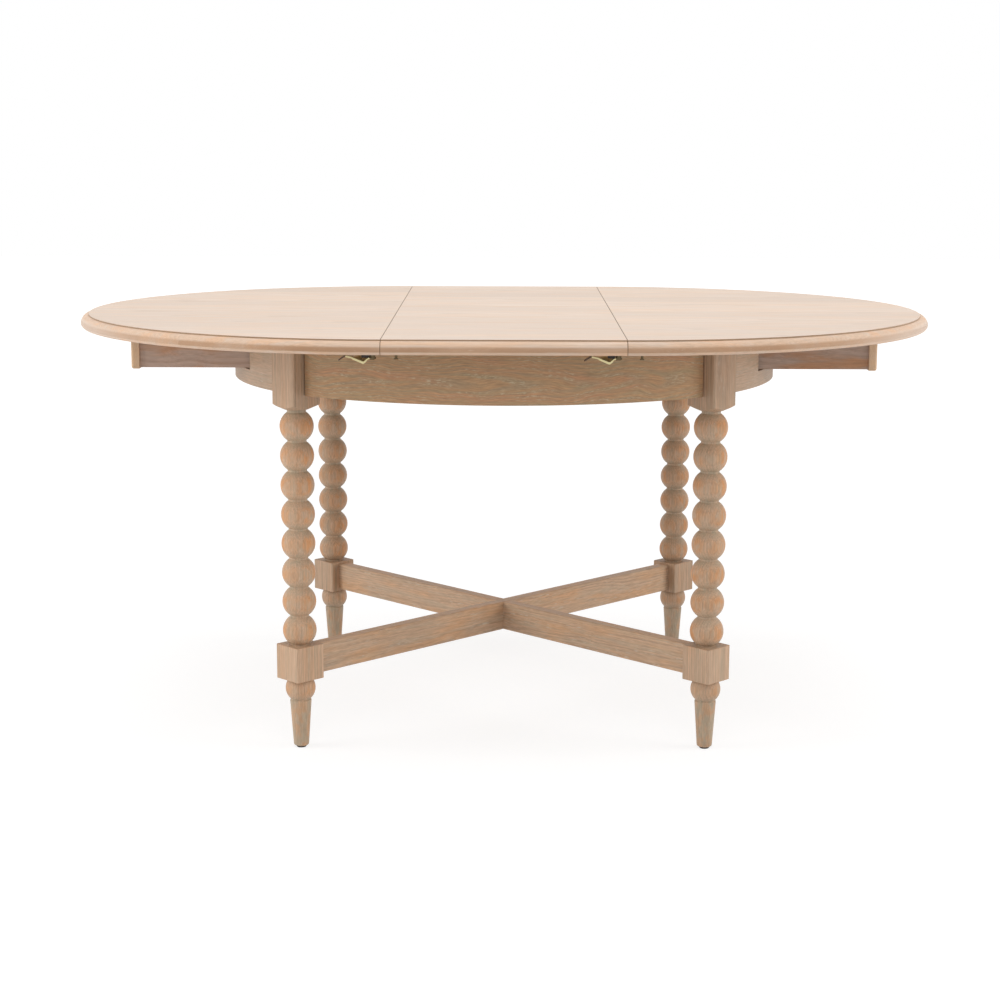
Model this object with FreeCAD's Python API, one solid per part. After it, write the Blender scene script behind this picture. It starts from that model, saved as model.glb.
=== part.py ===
import FreeCAD, Part
import math
import os

# Round extending dining table, drawn out with its leaf laid in.
# Millimetres, +Z up, +X along the pull-out, origin on the floor under the middle of the table.
# Four turned legs stand at 45 degrees to the sides, tied by curved aprons and a halved cross.
# Each half of the top rides on two grooved runners, and the leaf lies on the fixed guides.

V = FreeCAD.Vector

# The table as a whole
table_height = 762.0
top_diameter = 1200.0
leaf_opening = 406.0
seam_gap = 0.4
slide_play = 20.0
rest_gap = 0.3
frame_gap = 1.5
overrun = 5.0

# The top and its moulded edge
top_thickness = 25.0
moulding_step = 2.5
moulding_radius = 15.0
seam_ease = 0.8

# The turned legs
post_width = 61.0
post_proud = 23.1
post_drop = 26.5
post_chamfer = 2.0
post_shoulder_radius = 22.0
post_shoulder_rise = 9.5
collar_height = 4.0
bead_radius = 30.2
bead_overlap = 7.7
bead_gap = 2.8
block_bottom = 129.0
block_height = 62.5
block_width = 61.0
block_chamfer = 2.0
ball_radius = 27.0
ball_drop = 18.0
ball_neck_radius = 20.2
foot_neck_radius = 17.8
shoulder_drop = 21.5
shoulder_radius = 19.3
shoulder_round = 2.0
foot_tip_radius = 13.8
foot_tip_round = 3.5
glide_radius = 9.0
glide_height = 3.5
glide_pin_radius = 1.5
glide_pin_length = 14.0

# The curved aprons
apron_inset = 85.0
apron_curve = 555.0
apron_thickness = 23.0
apron_height = 92.0
apron_tenon_thickness = 10.0
apron_tenon_length = 20.0
apron_tenon_shoulder = 12.0
apron_quirk_width = 3.0
apron_quirk_depth = 4.0
slot_side_gap = 8.0
slot_floor_gap = 3.0

# The corner blocks and their hanger bolts
corner_depth = 45.5
corner_half_length = 85.0
corner_gap = 3.8
corner_top_gap = 8.0
bolt_radius = 4.0
bolt_clearance = 0.4
bolt_grip = 34.0
bolt_stub = 12.0
washer_radius = 9.0
washer_thickness = 1.6
nut_width = 13.0
nut_thickness = 6.5
corner_screw_start = 46.0
corner_screw_length = 62.0
corner_screw_angle = 40.0

# The cross of two halved rails
rail_thickness = 23.0
rail_height = 55.0
rail_drop = 3.5
rail_ease = 1.5
rail_tenon_length = 20.0
rail_tenon_thickness = 11.0
rail_tenon_shoulder = 7.0
lap_gap = 0.1

# The runners under the halves
runner_inset = 286.0
runner_thickness = 22.0
runner_height = 63.0
runner_middle_gap = 15.0
groove_depth = 9.0
groove_height = 11.0
groove_middle = 31.0
runner_screw_count = 3
runner_screw_inset = 8.0
runner_screw_recess = 20.0
runner_screw_end = 60.0
runner_screw_grip = 12.0
stop_length = 20.0
stop_height = 16.0

# The end boards
board_inset = 40.0
board_thickness = 15.0
board_margin = 5.0
board_drop = 2.0
board_round = 5.0
dowel_radius = 4.0
dowel_depth = 10.0
dowel_length = 34.0
dowel_edge = 8.0

# The fixed guides and bearers
guide_thickness = 26.0
guide_side_gap = 0.5
guide_end_gap = 60.5
tongue_gap = 0.5
bearer_width = 40.0
bearer_height = 26.0
bearer_tenon_length = 9.0
bearer_tenon_width = 24.0
bearer_tenon_height = 14.0
bearer_screw_length = 48.0

# Wood screws
screw_radius = 2.0
screw_head_radius = 4.2
screw_head_depth = 2.6

# The brass swivel locks at the seams
lock_inset = 30.0
lock_plate_length = 34.0
lock_plate_width = 13.0
lock_plate_thickness = 1.6
lock_plate_setback = 2.5
pivot_setback = 14.0
pivot_radius = 2.5
pivot_head_radius = 4.2
pivot_head_depth = 1.5
pivot_clearance = 0.05
boss_radius = 5.0
boss_depth = 4.3
lever_gap = 0.1
lever_thickness = 2.2
lever_width = 12.0
lever_hub_radius = 6.0
lever_dip_start = 5.0
lever_dip_end = 10.5
lever_dip = 6.8
hook_start = 32.0
hook_radius = 39.0
hook_end = 45.0
hook_rise = 1.0
tab_length = 9.0
tab_drop = 8.0
stud_radius = 2.2
stud_clearance = 0.3
stud_head_radius = 3.8
stud_head_depth = 1.5
catch_length = 31.0
catch_setback = 2.5
lock_screw_radius = 1.3
lock_screw_head_radius = 2.8
lock_screw_length = 12.0
lock_screw_edge = 5.0

# Levels and places that follow from the sizes above
top_radius = top_diameter / 2
half_shift = leaf_opening / 2
underside = table_height - top_thickness
frame_top = underside - frame_gap
apron_bottom = frame_top - apron_height
apron_reach = top_radius - apron_inset
apron_shift = apron_curve - apron_reach
apron_inner = apron_curve - apron_thickness
runner_bottom = underside - runner_height
bearer_top = runner_bottom - rest_gap
runner_face = apron_reach - runner_inset
slot_half = runner_face + slot_side_gap
slot_floor = runner_bottom - slot_floor_gap


def apron_meeting(radius):
    # How far out along a diagonal an apron face of this radius meets the side of a post.
    post_half = post_width / math.sqrt(2)
    offset = post_half + apron_shift
    near = (math.sqrt(2 * radius ** 2 - offset ** 2) - offset) / 2
    return (2 * near + post_half) / math.sqrt(2)


diagonal = apron_meeting(apron_curve) + post_proud - post_width / 2
block_top = block_bottom + block_height
ball_centre = block_bottom - ball_drop
shoulder_height = ball_centre - shoulder_drop
post_bottom = apron_bottom - post_drop
bead_room = post_bottom - collar_height - block_top
bead_count = round(bead_room / (2 * bead_radius - bead_overlap))
bead_pitch = bead_room / bead_count
neck_radius = math.sqrt(bead_radius ** 2 - (bead_pitch / 2 - bead_gap / 2) ** 2)
corner_face = apron_meeting(apron_inner) - corner_depth
corner_top = frame_top - corner_top_gap
corner_bottom = bearer_top + corner_gap
bolt_level = (corner_top + corner_bottom) / 2
rail_top = block_top - rail_drop
rail_bottom = rail_top - rail_height
runner_inner_face = runner_face - runner_thickness
board_reach = apron_reach - board_inset
runner_end = board_reach - board_thickness
groove_floor = runner_bottom + groove_middle - groove_height / 2
guide_face = runner_inner_face - guide_side_gap
guide_reach = apron_reach - apron_thickness - guide_end_gap
stop_face = half_shift + runner_middle_gap + stop_length
bearer_inner = stop_face + slide_play + rest_gap
lock_line = top_radius - lock_inset
lever_top = underside - lock_plate_thickness - boss_depth - lever_gap

corner_names = ("back_right", "back_left", "front_left", "front_right")
apron_names = ("right", "back", "left", "front")
side_signs = {"left": -1, "right": 1}
depth_signs = {"front": -1, "back": 1}


def box(x0, x1, y0, y1, z0, z1):
    return Part.makeBox(x1 - x0, y1 - y0, z1 - z0, V(x0, y0, z0))


def centred_box(length, width, x, y, z0, z1):
    return box(x - length / 2, x + length / 2, y - width / 2, y + width / 2, z0, z1)


def rod(radius, start, end):
    along = end - start
    return Part.makeCylinder(radius, along.Length, start, along)


def prism(points, z0, z1):
    corners = [V(x, y, z0) for x, y in points]
    face = Part.Face(Part.makePolygon(corners + corners[:1]))
    return face.extrude(V(0, 0, z1 - z0))


def side_prism(points, y0, y1):
    corners = [V(x, y0, z) for x, z in points]
    face = Part.Face(Part.makePolygon(corners + corners[:1]))
    return face.extrude(V(0, y1 - y0, 0))


def turned(shape, degrees):
    copy = shape.copy()
    copy.rotate(V(0, 0, 0), V(0, 0, 1), degrees)
    return copy


def moved(shape, x, y, z):
    copy = shape.copy()
    copy.translate(V(x, y, z))
    return copy


def mirrored(shape, normal):
    return shape.mirror(V(0, 0, 0), normal)


def joined(shapes):
    first = shapes[0]
    return first.fuse(shapes[1:]).removeSplitter() if len(shapes) > 1 else first


def group(shapes):
    solids = [solid for shape in shapes for solid in shape.Solids]
    return Part.makeCompound(solids)


def single(shape):
    return shape.Solids[0] if len(shape.Solids) == 1 else shape


def wood_screw(head, direction, length):
    # A countersunk screw whose flat head lies at the point given.
    along = V(direction).normalize()
    cone = Part.makeCone(screw_head_radius, screw_radius, screw_head_depth, head, along)
    shank = rod(screw_radius, head + along * screw_head_depth, head + along * length)
    return cone.fuse(shank)


def quarter_round(centre_x, centre_z, radius, start, end):
    # An arc in the XZ plane between two angles, in degrees from +X towards +Z.
    def on_arc(degrees):
        angle = math.radians(degrees)
        return V(centre_x + radius * math.cos(angle), 0, centre_z + radius * math.sin(angle))

    return Part.Arc(on_arc(start), on_arc((start + end) / 2), on_arc(end)).toShape()


# The top

def edge_moulding(reach):
    # Half section of the top out to its rim: field, small step, ovolo, and a round below.
    ledge = table_height - moulding_step
    widest = ledge - moulding_radius
    under_radius = widest - underside
    field_edge = reach - moulding_radius
    foot_edge = reach - under_radius
    edges = [
        Part.makeLine(V(0, 0, underside), V(foot_edge, 0, underside)),
        quarter_round(foot_edge, widest, under_radius, -90, 0),
        quarter_round(field_edge, widest, moulding_radius, 0, 90),
        Part.makeLine(V(field_edge, 0, ledge), V(field_edge, 0, table_height)),
        Part.makeLine(V(field_edge, 0, table_height), V(0, 0, table_height)),
        Part.makeLine(V(0, 0, table_height), V(0, 0, underside)),
    ]
    return Part.Face(Part.Wire(edges))


def seam_bevel():
    # The small bevel along one seam's upper edge, pointing down the +X side of the seam.
    width = top_radius + overrun
    points = [(0, table_height - seam_ease), (seam_ease, table_height), (0, table_height)]
    return side_prism(points, -width, width)


def half_top(sign):
    # A half disc whose straight edge is the seam.
    section = edge_moulding(top_radius)
    section.rotate(V(0, 0, 0), V(0, 0, 1), -90)
    disc = section.revolve(V(0, 0, 0), V(0, 0, 1), 180)
    disc = disc.cut(seam_bevel())
    disc.translate(V(half_shift, 0, 0))
    return disc if sign > 0 else mirrored(disc, V(1, 0, 0))


def leaf_board():
    # One board as wide as the table, with the moulding along its two short visible edges.
    section = edge_moulding(top_radius)
    section.rotate(V(0, 0, 0), V(0, 0, 1), 90)
    length = leaf_opening - 2 * seam_gap
    strip = section.extrude(V(length, 0, 0))
    strip.translate(V(-length / 2, 0, 0))
    board = joined([strip, mirrored(strip, V(0, 1, 0))])
    bevel = moved(seam_bevel(), -length / 2, 0, 0)
    return board.cut(bevel).cut(mirrored(bevel, V(1, 0, 0)))


# The legs, drawn for a corner that lies along +X and turned into place

def leg_outline():
    # The turned outline from the glide up to the post, as edges from the axis and back to it.
    outline = []
    place = [V(0, 0, glide_height)]

    def straight(radius, z):
        outline.append(Part.makeLine(place[0], V(radius, 0, z)))
        place[0] = V(radius, 0, z)

    def arc(centre_r, centre_z, radius, start, end):
        edge = quarter_round(centre_r, centre_z, radius, start, end)
        outline.append(edge)
        place[0] = V(centre_r + radius * math.cos(math.radians(end)), 0,
                     centre_z + radius * math.sin(math.radians(end)))

    def sphere_zone(centre_z, radius, low_radius, high_radius):
        low = -math.degrees(math.acos(low_radius / radius))
        high = math.degrees(math.acos(high_radius / radius))
        bottom = centre_z + radius * math.sin(math.radians(low))
        straight(low_radius, bottom)
        arc(0, centre_z, radius, low, high)

    tip_inner = foot_tip_radius - foot_tip_round
    straight(tip_inner, glide_height)
    arc(tip_inner, glide_height + foot_tip_round, foot_tip_round, -90, 0)
    straight(shoulder_radius, shoulder_height - shoulder_round)
    arc(shoulder_radius - shoulder_round, shoulder_height - shoulder_round, shoulder_round, 0, 90)
    straight(foot_neck_radius, shoulder_height)
    sphere_zone(ball_centre, ball_radius, foot_neck_radius, ball_neck_radius)
    straight(ball_neck_radius, block_top)
    straight(neck_radius, block_top)
    for index in range(bead_count):
        centre = block_top + (index + 0.5) * bead_pitch
        sphere_zone(centre, bead_radius, neck_radius, neck_radius)
    straight(neck_radius, post_bottom + overrun)
    straight(0, post_bottom + overrun)
    straight(0, glide_height)
    return Part.Face(Part.Wire(outline))


def chamfered_post(width, chamfer, z0, z1):
    # A square timber on the leg's axis, its four long arrises planed off.
    half = width / 2
    flat = half - chamfer
    points = [(half, -flat), (half, flat), (flat, half), (-flat, half),
              (-half, flat), (-half, -flat), (-flat, -half), (flat, -half)]
    return prism(points, z0, z1)


def turned_shoulder():
    # The cone and drum that the lathe leaves at the foot of the square post.
    reach = post_width / math.sqrt(2)
    shoulder_top = V(0, 0, post_bottom + post_shoulder_rise)
    cone = Part.makeCone(post_shoulder_radius, reach, post_shoulder_rise, V(0, 0, post_bottom))
    return joined([cone, rod(reach, shoulder_top, V(0, 0, frame_top))])


def leg():
    turning = leg_outline().revolve(V(0, 0, 0), V(0, 0, 1), 360)
    post = chamfered_post(post_width, post_chamfer, post_bottom, frame_top)
    post = post.common(turned_shoulder())
    block = chamfered_post(block_width, block_chamfer, block_bottom, block_top)
    timber = moved(joined([turning, post, block]), diagonal, 0, 0)
    for tenon in (apron_tenon(1), apron_tenon(-1), cross_tenon(), hanger_bolt(), glide_pin()):
        timber = timber.cut(tenon)
    return single(timber)


def glide_pin():
    bottom = V(diagonal, 0, glide_height / 2)
    return rod(glide_pin_radius, bottom, bottom + V(0, 0, glide_pin_length))


def glide():
    # A slightly domed plastic pad on a nail, under the foot.
    pad = Part.makeCone(glide_radius - glide_height / 3, glide_radius, glide_height / 3,
                        V(diagonal, 0, 0))
    rim = rod(glide_radius, V(diagonal, 0, glide_height / 3), V(diagonal, 0, glide_height))
    return joined([pad, rim, glide_pin()])


# The aprons, drawn for the one that faces +X and turned into place

def apron_tenon(side):
    # The tenon of the apron on this side of a post that lies along +X.
    middle = (apron_meeting(apron_curve) + apron_meeting(apron_inner)) / 2
    shoulder = post_width / 2
    outer = side * (shoulder + overrun)
    inner = side * (shoulder - apron_tenon_length)
    half = apron_tenon_thickness / 2
    return box(middle - half, middle + half, min(outer, inner), max(outer, inner),
               apron_bottom + apron_tenon_shoulder, frame_top - apron_tenon_shoulder)


def inner_drum(degrees, extra):
    # All that lies inside the apron that faces this way, and a little more where asked.
    drum = Part.makeCylinder(apron_inner + extra, apron_height + 2 * overrun,
                             V(-apron_shift, 0, apron_bottom - overrun))
    return turned(drum, degrees)


def apron_ring():
    outer = Part.makeCylinder(apron_curve, apron_height, V(-apron_shift, 0, apron_bottom))
    inner = Part.makeCylinder(apron_inner, apron_height, V(-apron_shift, 0, apron_bottom))
    near = post_width / math.sqrt(2)
    far = apron_curve
    wedge = prism([(near, 0), (near + far, -far), (near + far, far)], apron_bottom, frame_top)
    return outer.cut(inner).common(wedge)


def apron_quirk(side):
    # The narrow groove that sets the apron's face off from one side of a post, beside the post.
    near = post_width / 2 * side
    far = near + apron_quirk_width * side
    depth = apron_meeting(apron_curve) - apron_quirk_depth
    return box(depth, diagonal + post_width, min(near, far), max(near, far),
               apron_bottom - overrun, frame_top + overrun)


def apron(name, degrees):
    tenons = [turned(apron_tenon(-1), 45), turned(apron_tenon(1), -45)]
    rail = joined([single(apron_ring())] + tenons)
    for quirk in (turned(apron_quirk(-1), 45), turned(apron_quirk(1), -45)):
        rail = rail.cut(quirk)
    if name in side_signs:
        slot = box(0, apron_curve, -slot_half, slot_half, slot_floor, frame_top + overrun)
        rail = rail.cut(slot)
    rail = turned(rail, degrees)
    if name in depth_signs:
        for sign in (-1, 1):
            rail = rail.cut(bearer_tenon(sign, depth_signs[name]))
    return single(rail)


# The corner blocks, drawn along +X like the legs

def corner_block():
    # Its long ends stop short of the runners' path, and of the same line on its other side.
    body = box(corner_face, diagonal, -corner_half_length, corner_half_length,
               corner_bottom, corner_top)
    body = body.common(inner_drum(45, 0)).common(inner_drum(-45, 0))
    path = box(-top_radius, top_radius, -top_radius, slot_half, corner_bottom, corner_top)
    path = turned(path, -45)
    body = body.cut(path).cut(mirrored(path, V(0, 1, 0)))
    body = body.cut(square_post())
    hole = rod(bolt_radius + bolt_clearance, V(corner_face - overrun, 0, bolt_level),
               V(diagonal, 0, bolt_level))
    body = body.cut(hole)
    for screw in corner_screws():
        body = body.cut(screw)
    return single(body)


def corner_screws():
    screws = []
    for side in (-1, 1):
        angle = math.radians(side * corner_screw_angle)
        head = V(corner_face, side * corner_screw_start, bolt_level)
        direction = V(math.cos(angle), math.sin(angle), 0)
        screws.append(wood_screw(head, direction, corner_screw_length))
    return screws


def hanger_bolt():
    start = V(corner_face - washer_thickness - nut_thickness - bolt_stub / 2, 0, bolt_level)
    end = V(diagonal - post_width / 2 + bolt_grip, 0, bolt_level)
    return rod(bolt_radius, start, end)


def washer():
    face = V(corner_face - washer_thickness, 0, bolt_level)
    back = V(corner_face, 0, bolt_level)
    return rod(washer_radius, face, back).cut(rod(bolt_radius, face, back))


def hex_nut():
    corner = nut_width / math.sqrt(3)
    points = []
    for index in range(6):
        angle = math.radians(60 * index)
        points.append((corner * math.cos(angle), corner * math.sin(angle)))
    nut = prism(points, 0, nut_thickness).cut(rod(bolt_radius, V(0, 0, 0), V(0, 0, nut_thickness)))
    nut.rotate(V(0, 0, 0), V(0, 1, 0), 90)
    return moved(nut, corner_face - washer_thickness - nut_thickness, 0, bolt_level)


# The cross, drawn along X and turned onto a diagonal

def cross_tenon():
    shoulder = diagonal - block_width / 2
    half = rail_tenon_thickness / 2
    return box(shoulder - overrun, shoulder + rail_tenon_length, -half, half,
               rail_bottom + rail_tenon_shoulder, rail_top - rail_tenon_shoulder)


def cross_rail(keeps_top):
    shoulder = diagonal - block_width / 2
    half = rail_thickness / 2
    body = box(-shoulder, shoulder, -half, half, rail_bottom, rail_top)
    long_edges = [edge for edge in body.Edges if abs(edge.Length - 2 * shoulder) < rail_ease]
    body = body.makeChamfer(rail_ease, long_edges)
    rail = joined([body, cross_tenon(), turned(cross_tenon(), 180)])
    middle = (rail_bottom + rail_top) / 2
    reach = half + lap_gap
    if keeps_top:
        lap = box(-reach, reach, -rail_thickness, rail_thickness, rail_bottom - overrun, middle)
    else:
        lap = box(-reach, reach, -rail_thickness, rail_thickness, middle, rail_top + overrun)
    return single(rail.cut(lap))


# The fixed slides

def tongue_box(depth, gap, reach_start, reach_end):
    # The tongue of a guide, or with a gap the groove that runs on it, at the back of the table.
    return box(reach_start, reach_end, guide_face - overrun, runner_inner_face + depth,
               groove_floor - gap, groove_floor + groove_height + gap)


def guide_rail(sign):
    body = box(-guide_reach, guide_reach, guide_face - guide_thickness, guide_face,
               bearer_top, underside - rest_gap)
    tongue = tongue_box(groove_depth - 2 * tongue_gap, -tongue_gap, -guide_reach, guide_reach)
    rail = joined([body, tongue])
    rail = rail if sign > 0 else mirrored(rail, V(0, 1, 0))
    for screw in bearer_screws():
        rail = rail.cut(screw)
    return single(rail)


def bearer_tenon(x_sign, y_sign):
    half_width = bearer_tenon_width / 2
    x = x_sign * (bearer_inner + bearer_width / 2)
    z = bearer_top - bearer_height / 2
    bar = box(x - half_width, x + half_width, guide_face, apron_curve,
              z - bearer_tenon_height / 2, z + bearer_tenon_height / 2)
    bar = bar.common(inner_drum(90, bearer_tenon_length))
    return bar if y_sign > 0 else mirrored(bar, V(0, 1, 0))


def square_post():
    # The room that a post takes, for the pieces fitted round it.
    return centred_box(post_width, post_width, diagonal, 0, post_bottom, frame_top)


def bearer(sign):
    x0 = bearer_inner
    x1 = bearer_inner + bearer_width
    beam = box(x0, x1, -apron_curve, apron_curve, bearer_top - bearer_height, bearer_top)
    beam = beam.common(inner_drum(90, 0)).common(inner_drum(270, 0))
    beam = joined([single(beam), bearer_tenon(1, 1), bearer_tenon(1, -1)])
    beam = beam.cut(turned(square_post(), 45)).cut(turned(square_post(), -45))
    beam = beam if sign > 0 else mirrored(beam, V(1, 0, 0))
    for screw in bearer_screws():
        beam = beam.cut(screw)
    return single(beam)


def bearer_screws():
    screws = []
    for x_sign in (-1, 1):
        for y_sign in (-1, 1):
            x = x_sign * (bearer_inner + bearer_width / 2)
            y = y_sign * (guide_face - guide_thickness / 2)
            head = V(x, y, bearer_top - bearer_height)
            screws.append(wood_screw(head, V(0, 0, 1), bearer_screw_length))
    return screws


# What each half carries, drawn for the half on the +X side

def runner_places(y_sign):
    first = half_shift + runner_middle_gap + runner_screw_end
    last = half_shift + runner_end - runner_screw_end
    step = (last - first) / (runner_screw_count - 1)
    y = y_sign * (runner_face - runner_screw_inset)
    return [(first + step * index, y) for index in range(runner_screw_count)]


def runner_screws():
    screws = []
    for y_sign in (-1, 1):
        for x, y in runner_places(y_sign):
            head = V(x, y, runner_bottom + runner_screw_recess)
            length = underside - head.z + runner_screw_grip
            screws.append(wood_screw(head, V(0, 0, 1), length))
    return screws


def runner(y_sign):
    x0 = half_shift + runner_middle_gap
    x1 = half_shift + runner_end
    body = box(x0, x1, runner_inner_face, runner_face, runner_bottom, underside)
    body = body.cut(tongue_box(groove_depth, 0, x0 - overrun, x1 + overrun))
    body = body if y_sign > 0 else mirrored(body, V(0, 1, 0))
    for x, y in runner_places(y_sign):
        well = rod(screw_head_radius, V(x, y, runner_bottom - overrun),
                   V(x, y, runner_bottom + runner_screw_recess))
        body = body.cut(well)
    for screw in runner_screws() + board_dowels():
        body = body.cut(screw)
    return single(body)


def end_board():
    x1 = half_shift + board_reach
    half = runner_face + board_margin
    board = box(x1 - board_thickness, x1, -half, half, runner_bottom - board_drop, underside)
    outer = [edge for edge in board.Edges if abs(edge.CenterOfMass.x - x1) < rest_gap
             and edge.CenterOfMass.z < underside - rest_gap]
    board = board.makeFillet(board_round, outer)
    for dowel in board_dowels():
        board = board.cut(dowel)
    return single(board)


def board_dowels():
    dowels = []
    x0 = half_shift + board_reach - board_thickness
    for y_sign in (-1, 1):
        y = y_sign * (runner_face - runner_thickness / 2)
        for z in (runner_bottom + dowel_edge, underside - dowel_edge):
            start = V(x0 + dowel_depth, y, z)
            dowels.append(rod(dowel_radius, start, start - V(dowel_length, 0, 0)))
    return dowels


def runner_stops():
    x0 = half_shift + runner_middle_gap
    blocks = []
    for y_sign in (-1, 1):
        y = y_sign * (runner_face - runner_thickness / 2)
        blocks.append(centred_box(stop_length, runner_thickness, x0 + stop_length / 2, y,
                                  runner_bottom - stop_height, runner_bottom))
    return group(blocks)


# The locks, drawn at the back of a seam at x = 0 with the catch on the +X side

def lock_screw(x):
    head = V(x, lock_line, underside - lock_plate_thickness)
    depth = lock_plate_thickness / 2
    cone = Part.makeCone(lock_screw_head_radius, lock_screw_radius, depth, head, V(0, 0, 1))
    shank = rod(lock_screw_radius, head + V(0, 0, depth), head + V(0, 0, lock_screw_length))
    return cone.fuse(shank)


def plate_screws():
    near = -lock_plate_setback - lock_screw_edge
    far = -lock_plate_setback - lock_plate_length + lock_screw_edge
    return [lock_screw(near), lock_screw(far)]


def catch_screws():
    near = catch_setback + lock_screw_edge
    far = catch_setback + catch_length - lock_screw_edge
    return [lock_screw(near), lock_screw(far)]


def pivot_pin():
    top = V(-pivot_setback, lock_line, underside)
    head_top = V(-pivot_setback, lock_line, lever_top - lever_thickness - lever_gap)
    head = rod(pivot_head_radius, head_top, head_top - V(0, 0, pivot_head_depth))
    return joined([rod(pivot_radius, head_top, top), head])


def lock_plate():
    length_middle = -lock_plate_setback - lock_plate_length / 2
    plate = centred_box(lock_plate_length, lock_plate_width, length_middle, lock_line,
                        underside - lock_plate_thickness, underside)
    boss_top = V(-pivot_setback, lock_line, underside - lock_plate_thickness)
    boss = rod(boss_radius, boss_top, boss_top - V(0, 0, boss_depth))
    plate = joined([plate, boss]).cut(pivot_pin())
    for screw in plate_screws():
        plate = plate.cut(screw)
    return single(plate)


def catch_plate():
    length_middle = catch_setback + catch_length / 2
    plate = centred_box(catch_length, lock_plate_width, length_middle, lock_line,
                        underside - lock_plate_thickness, underside)
    for screw in catch_screws():
        plate = plate.cut(screw)
    x = hook_radius - pivot_setback
    top = V(x, lock_line, underside - lock_plate_thickness)
    head_top = V(x, lock_line, lever_top + hook_rise - lever_thickness - stud_clearance)
    head = rod(stud_head_radius, head_top, head_top - V(0, 0, stud_head_depth))
    return single(joined([plate, rod(stud_radius, head_top, top), head]))


def lever_strip():
    # Side view of the lever from its hub out to the finger tab, as upper then lower points.
    hook_top = lever_top + hook_rise
    upper = [(0, lever_top), (lever_dip_start, lever_top), (lever_dip_end, lever_top - lever_dip),
             (hook_start, hook_top), (hook_end, hook_top), (hook_end + tab_length, hook_top - tab_drop)]
    lower = [(x, z - lever_thickness) for x, z in reversed(upper)]
    half = lever_width / 2
    return side_prism(upper + lower, -half, half)


def lever_arm():
    # Along +X with the hub at the origin: a dipped strip, hooked on its leading (+Y) edge.
    hub_top = V(0, 0, lever_top)
    hub = rod(lever_hub_radius, hub_top - V(0, 0, lever_thickness), hub_top)
    arm = joined([lever_strip(), hub])
    arm = arm.cut(rod(pivot_radius + pivot_clearance, hub_top - V(0, 0, top_thickness), hub_top))
    room = stud_radius + stud_clearance
    low = V(0, 0, underside - top_thickness)
    ring = Part.makeCylinder(hook_radius + room, top_thickness, low)
    ring = ring.cut(Part.makeCylinder(hook_radius - room, top_thickness, low))
    side = box(0, hook_radius + lever_width, 0, lever_width, low.z, underside)
    mouth = ring.common(side)
    seat = rod(room, low + V(hook_radius, 0, 0), V(hook_radius, 0, underside))
    return single(arm.cut(mouth).cut(seat))


def lever():
    # Swung open, so that it points away from the catch.
    arm = turned(lever_arm(), 180)
    return moved(arm, -pivot_setback, lock_line, 0)


def at_seam(shape, seam_sign, y_sign):
    # From the back of a seam at x = 0 to one of the table's four seam ends.
    placed = shape if y_sign > 0 else mirrored(shape, V(0, 1, 0))
    seam = seam_sign * half_shift
    return moved(placed, seam, 0, 0)


def seam_hardware(makers, seam_sign):
    shapes = []
    for y_sign in (-1, 1):
        for maker in makers:
            for shape in maker():
                shapes.append(at_seam(shape, seam_sign, y_sign))
    return shapes


def without(shape, cutters):
    for cutter in cutters:
        shape = shape.cut(cutter)
    return single(shape)


# The assembly

def base_nodes():
    nodes = {}
    screws = []
    bolts = []
    washers = []
    nuts = []
    glides = []
    one_leg = leg()
    one_block = corner_block()
    for index, name in enumerate(corner_names):
        degrees = 45 + 90 * index
        nodes["leg_" + name] = turned(one_leg, degrees)
        nodes["corner_block_" + name] = turned(one_block, degrees)
        screws += [turned(screw, degrees) for screw in corner_screws()]
        bolts.append(turned(hanger_bolt(), degrees))
        washers.append(turned(washer(), degrees))
        nuts.append(turned(hex_nut(), degrees))
        glides.append(turned(glide(), degrees))
    for index, name in enumerate(apron_names):
        nodes["apron_" + name] = without(apron(name, 90 * index), screws)
    nodes["corner_block_screws"] = group(screws)
    nodes["hanger_bolts"] = group(bolts)
    nodes["hanger_washers"] = group(washers)
    nodes["hanger_nuts"] = group(nuts)
    nodes["foot_glides"] = group(glides)
    nodes["cross_rail_upper"] = turned(cross_rail(True), 45)
    nodes["cross_rail_lower"] = turned(cross_rail(False), 135)
    for name, sign in depth_signs.items():
        nodes["guide_rail_" + name] = guide_rail(sign)
    for name, sign in side_signs.items():
        nodes["bearer_" + name] = bearer(sign)
    nodes["bearer_screws"] = group(bearer_screws())
    return nodes


def half_nodes(name, sign):
    def placed(shape):
        return shape if sign > 0 else mirrored(shape, V(1, 0, 0))

    nodes = {}
    screws = [placed(screw) for screw in runner_screws()]
    if sign < 0:
        hardware = seam_hardware([plate_screws], -1)
    else:
        hardware = seam_hardware([catch_screws], 1)
    nodes["top_" + name] = without(half_top(sign), screws + hardware)
    for depth, y_sign in depth_signs.items():
        nodes["runner_" + name + "_" + depth] = placed(runner(y_sign))
    nodes["runner_stops_" + name] = placed(runner_stops())
    nodes["runner_screws_" + name] = group(screws)
    nodes["end_board_" + name] = placed(end_board())
    nodes["board_dowels_" + name] = placed(group(board_dowels()))
    nodes["lock_screws_" + name] = group(hardware)
    return nodes


def leaf_nodes():
    hardware = seam_hardware([catch_screws], -1) + seam_hardware([plate_screws], 1)
    return {"leaf": without(leaf_board(), hardware), "lock_screws_leaf": group(hardware)}


def lock_nodes():
    nodes = {}
    for seam, seam_sign in side_signs.items():
        nodes["lock_pins_" + seam] = group([at_seam(pivot_pin(), seam_sign, y_sign)
                                            for y_sign in (-1, 1)])
        for depth, y_sign in depth_signs.items():
            end = seam + "_" + depth
            nodes["lock_plate_" + end] = at_seam(lock_plate(), seam_sign, y_sign)
            nodes["lock_catch_" + end] = at_seam(catch_plate(), seam_sign, y_sign)
            nodes["lock_lever_" + end] = at_seam(lever(), seam_sign, y_sign)
    return nodes


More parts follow.
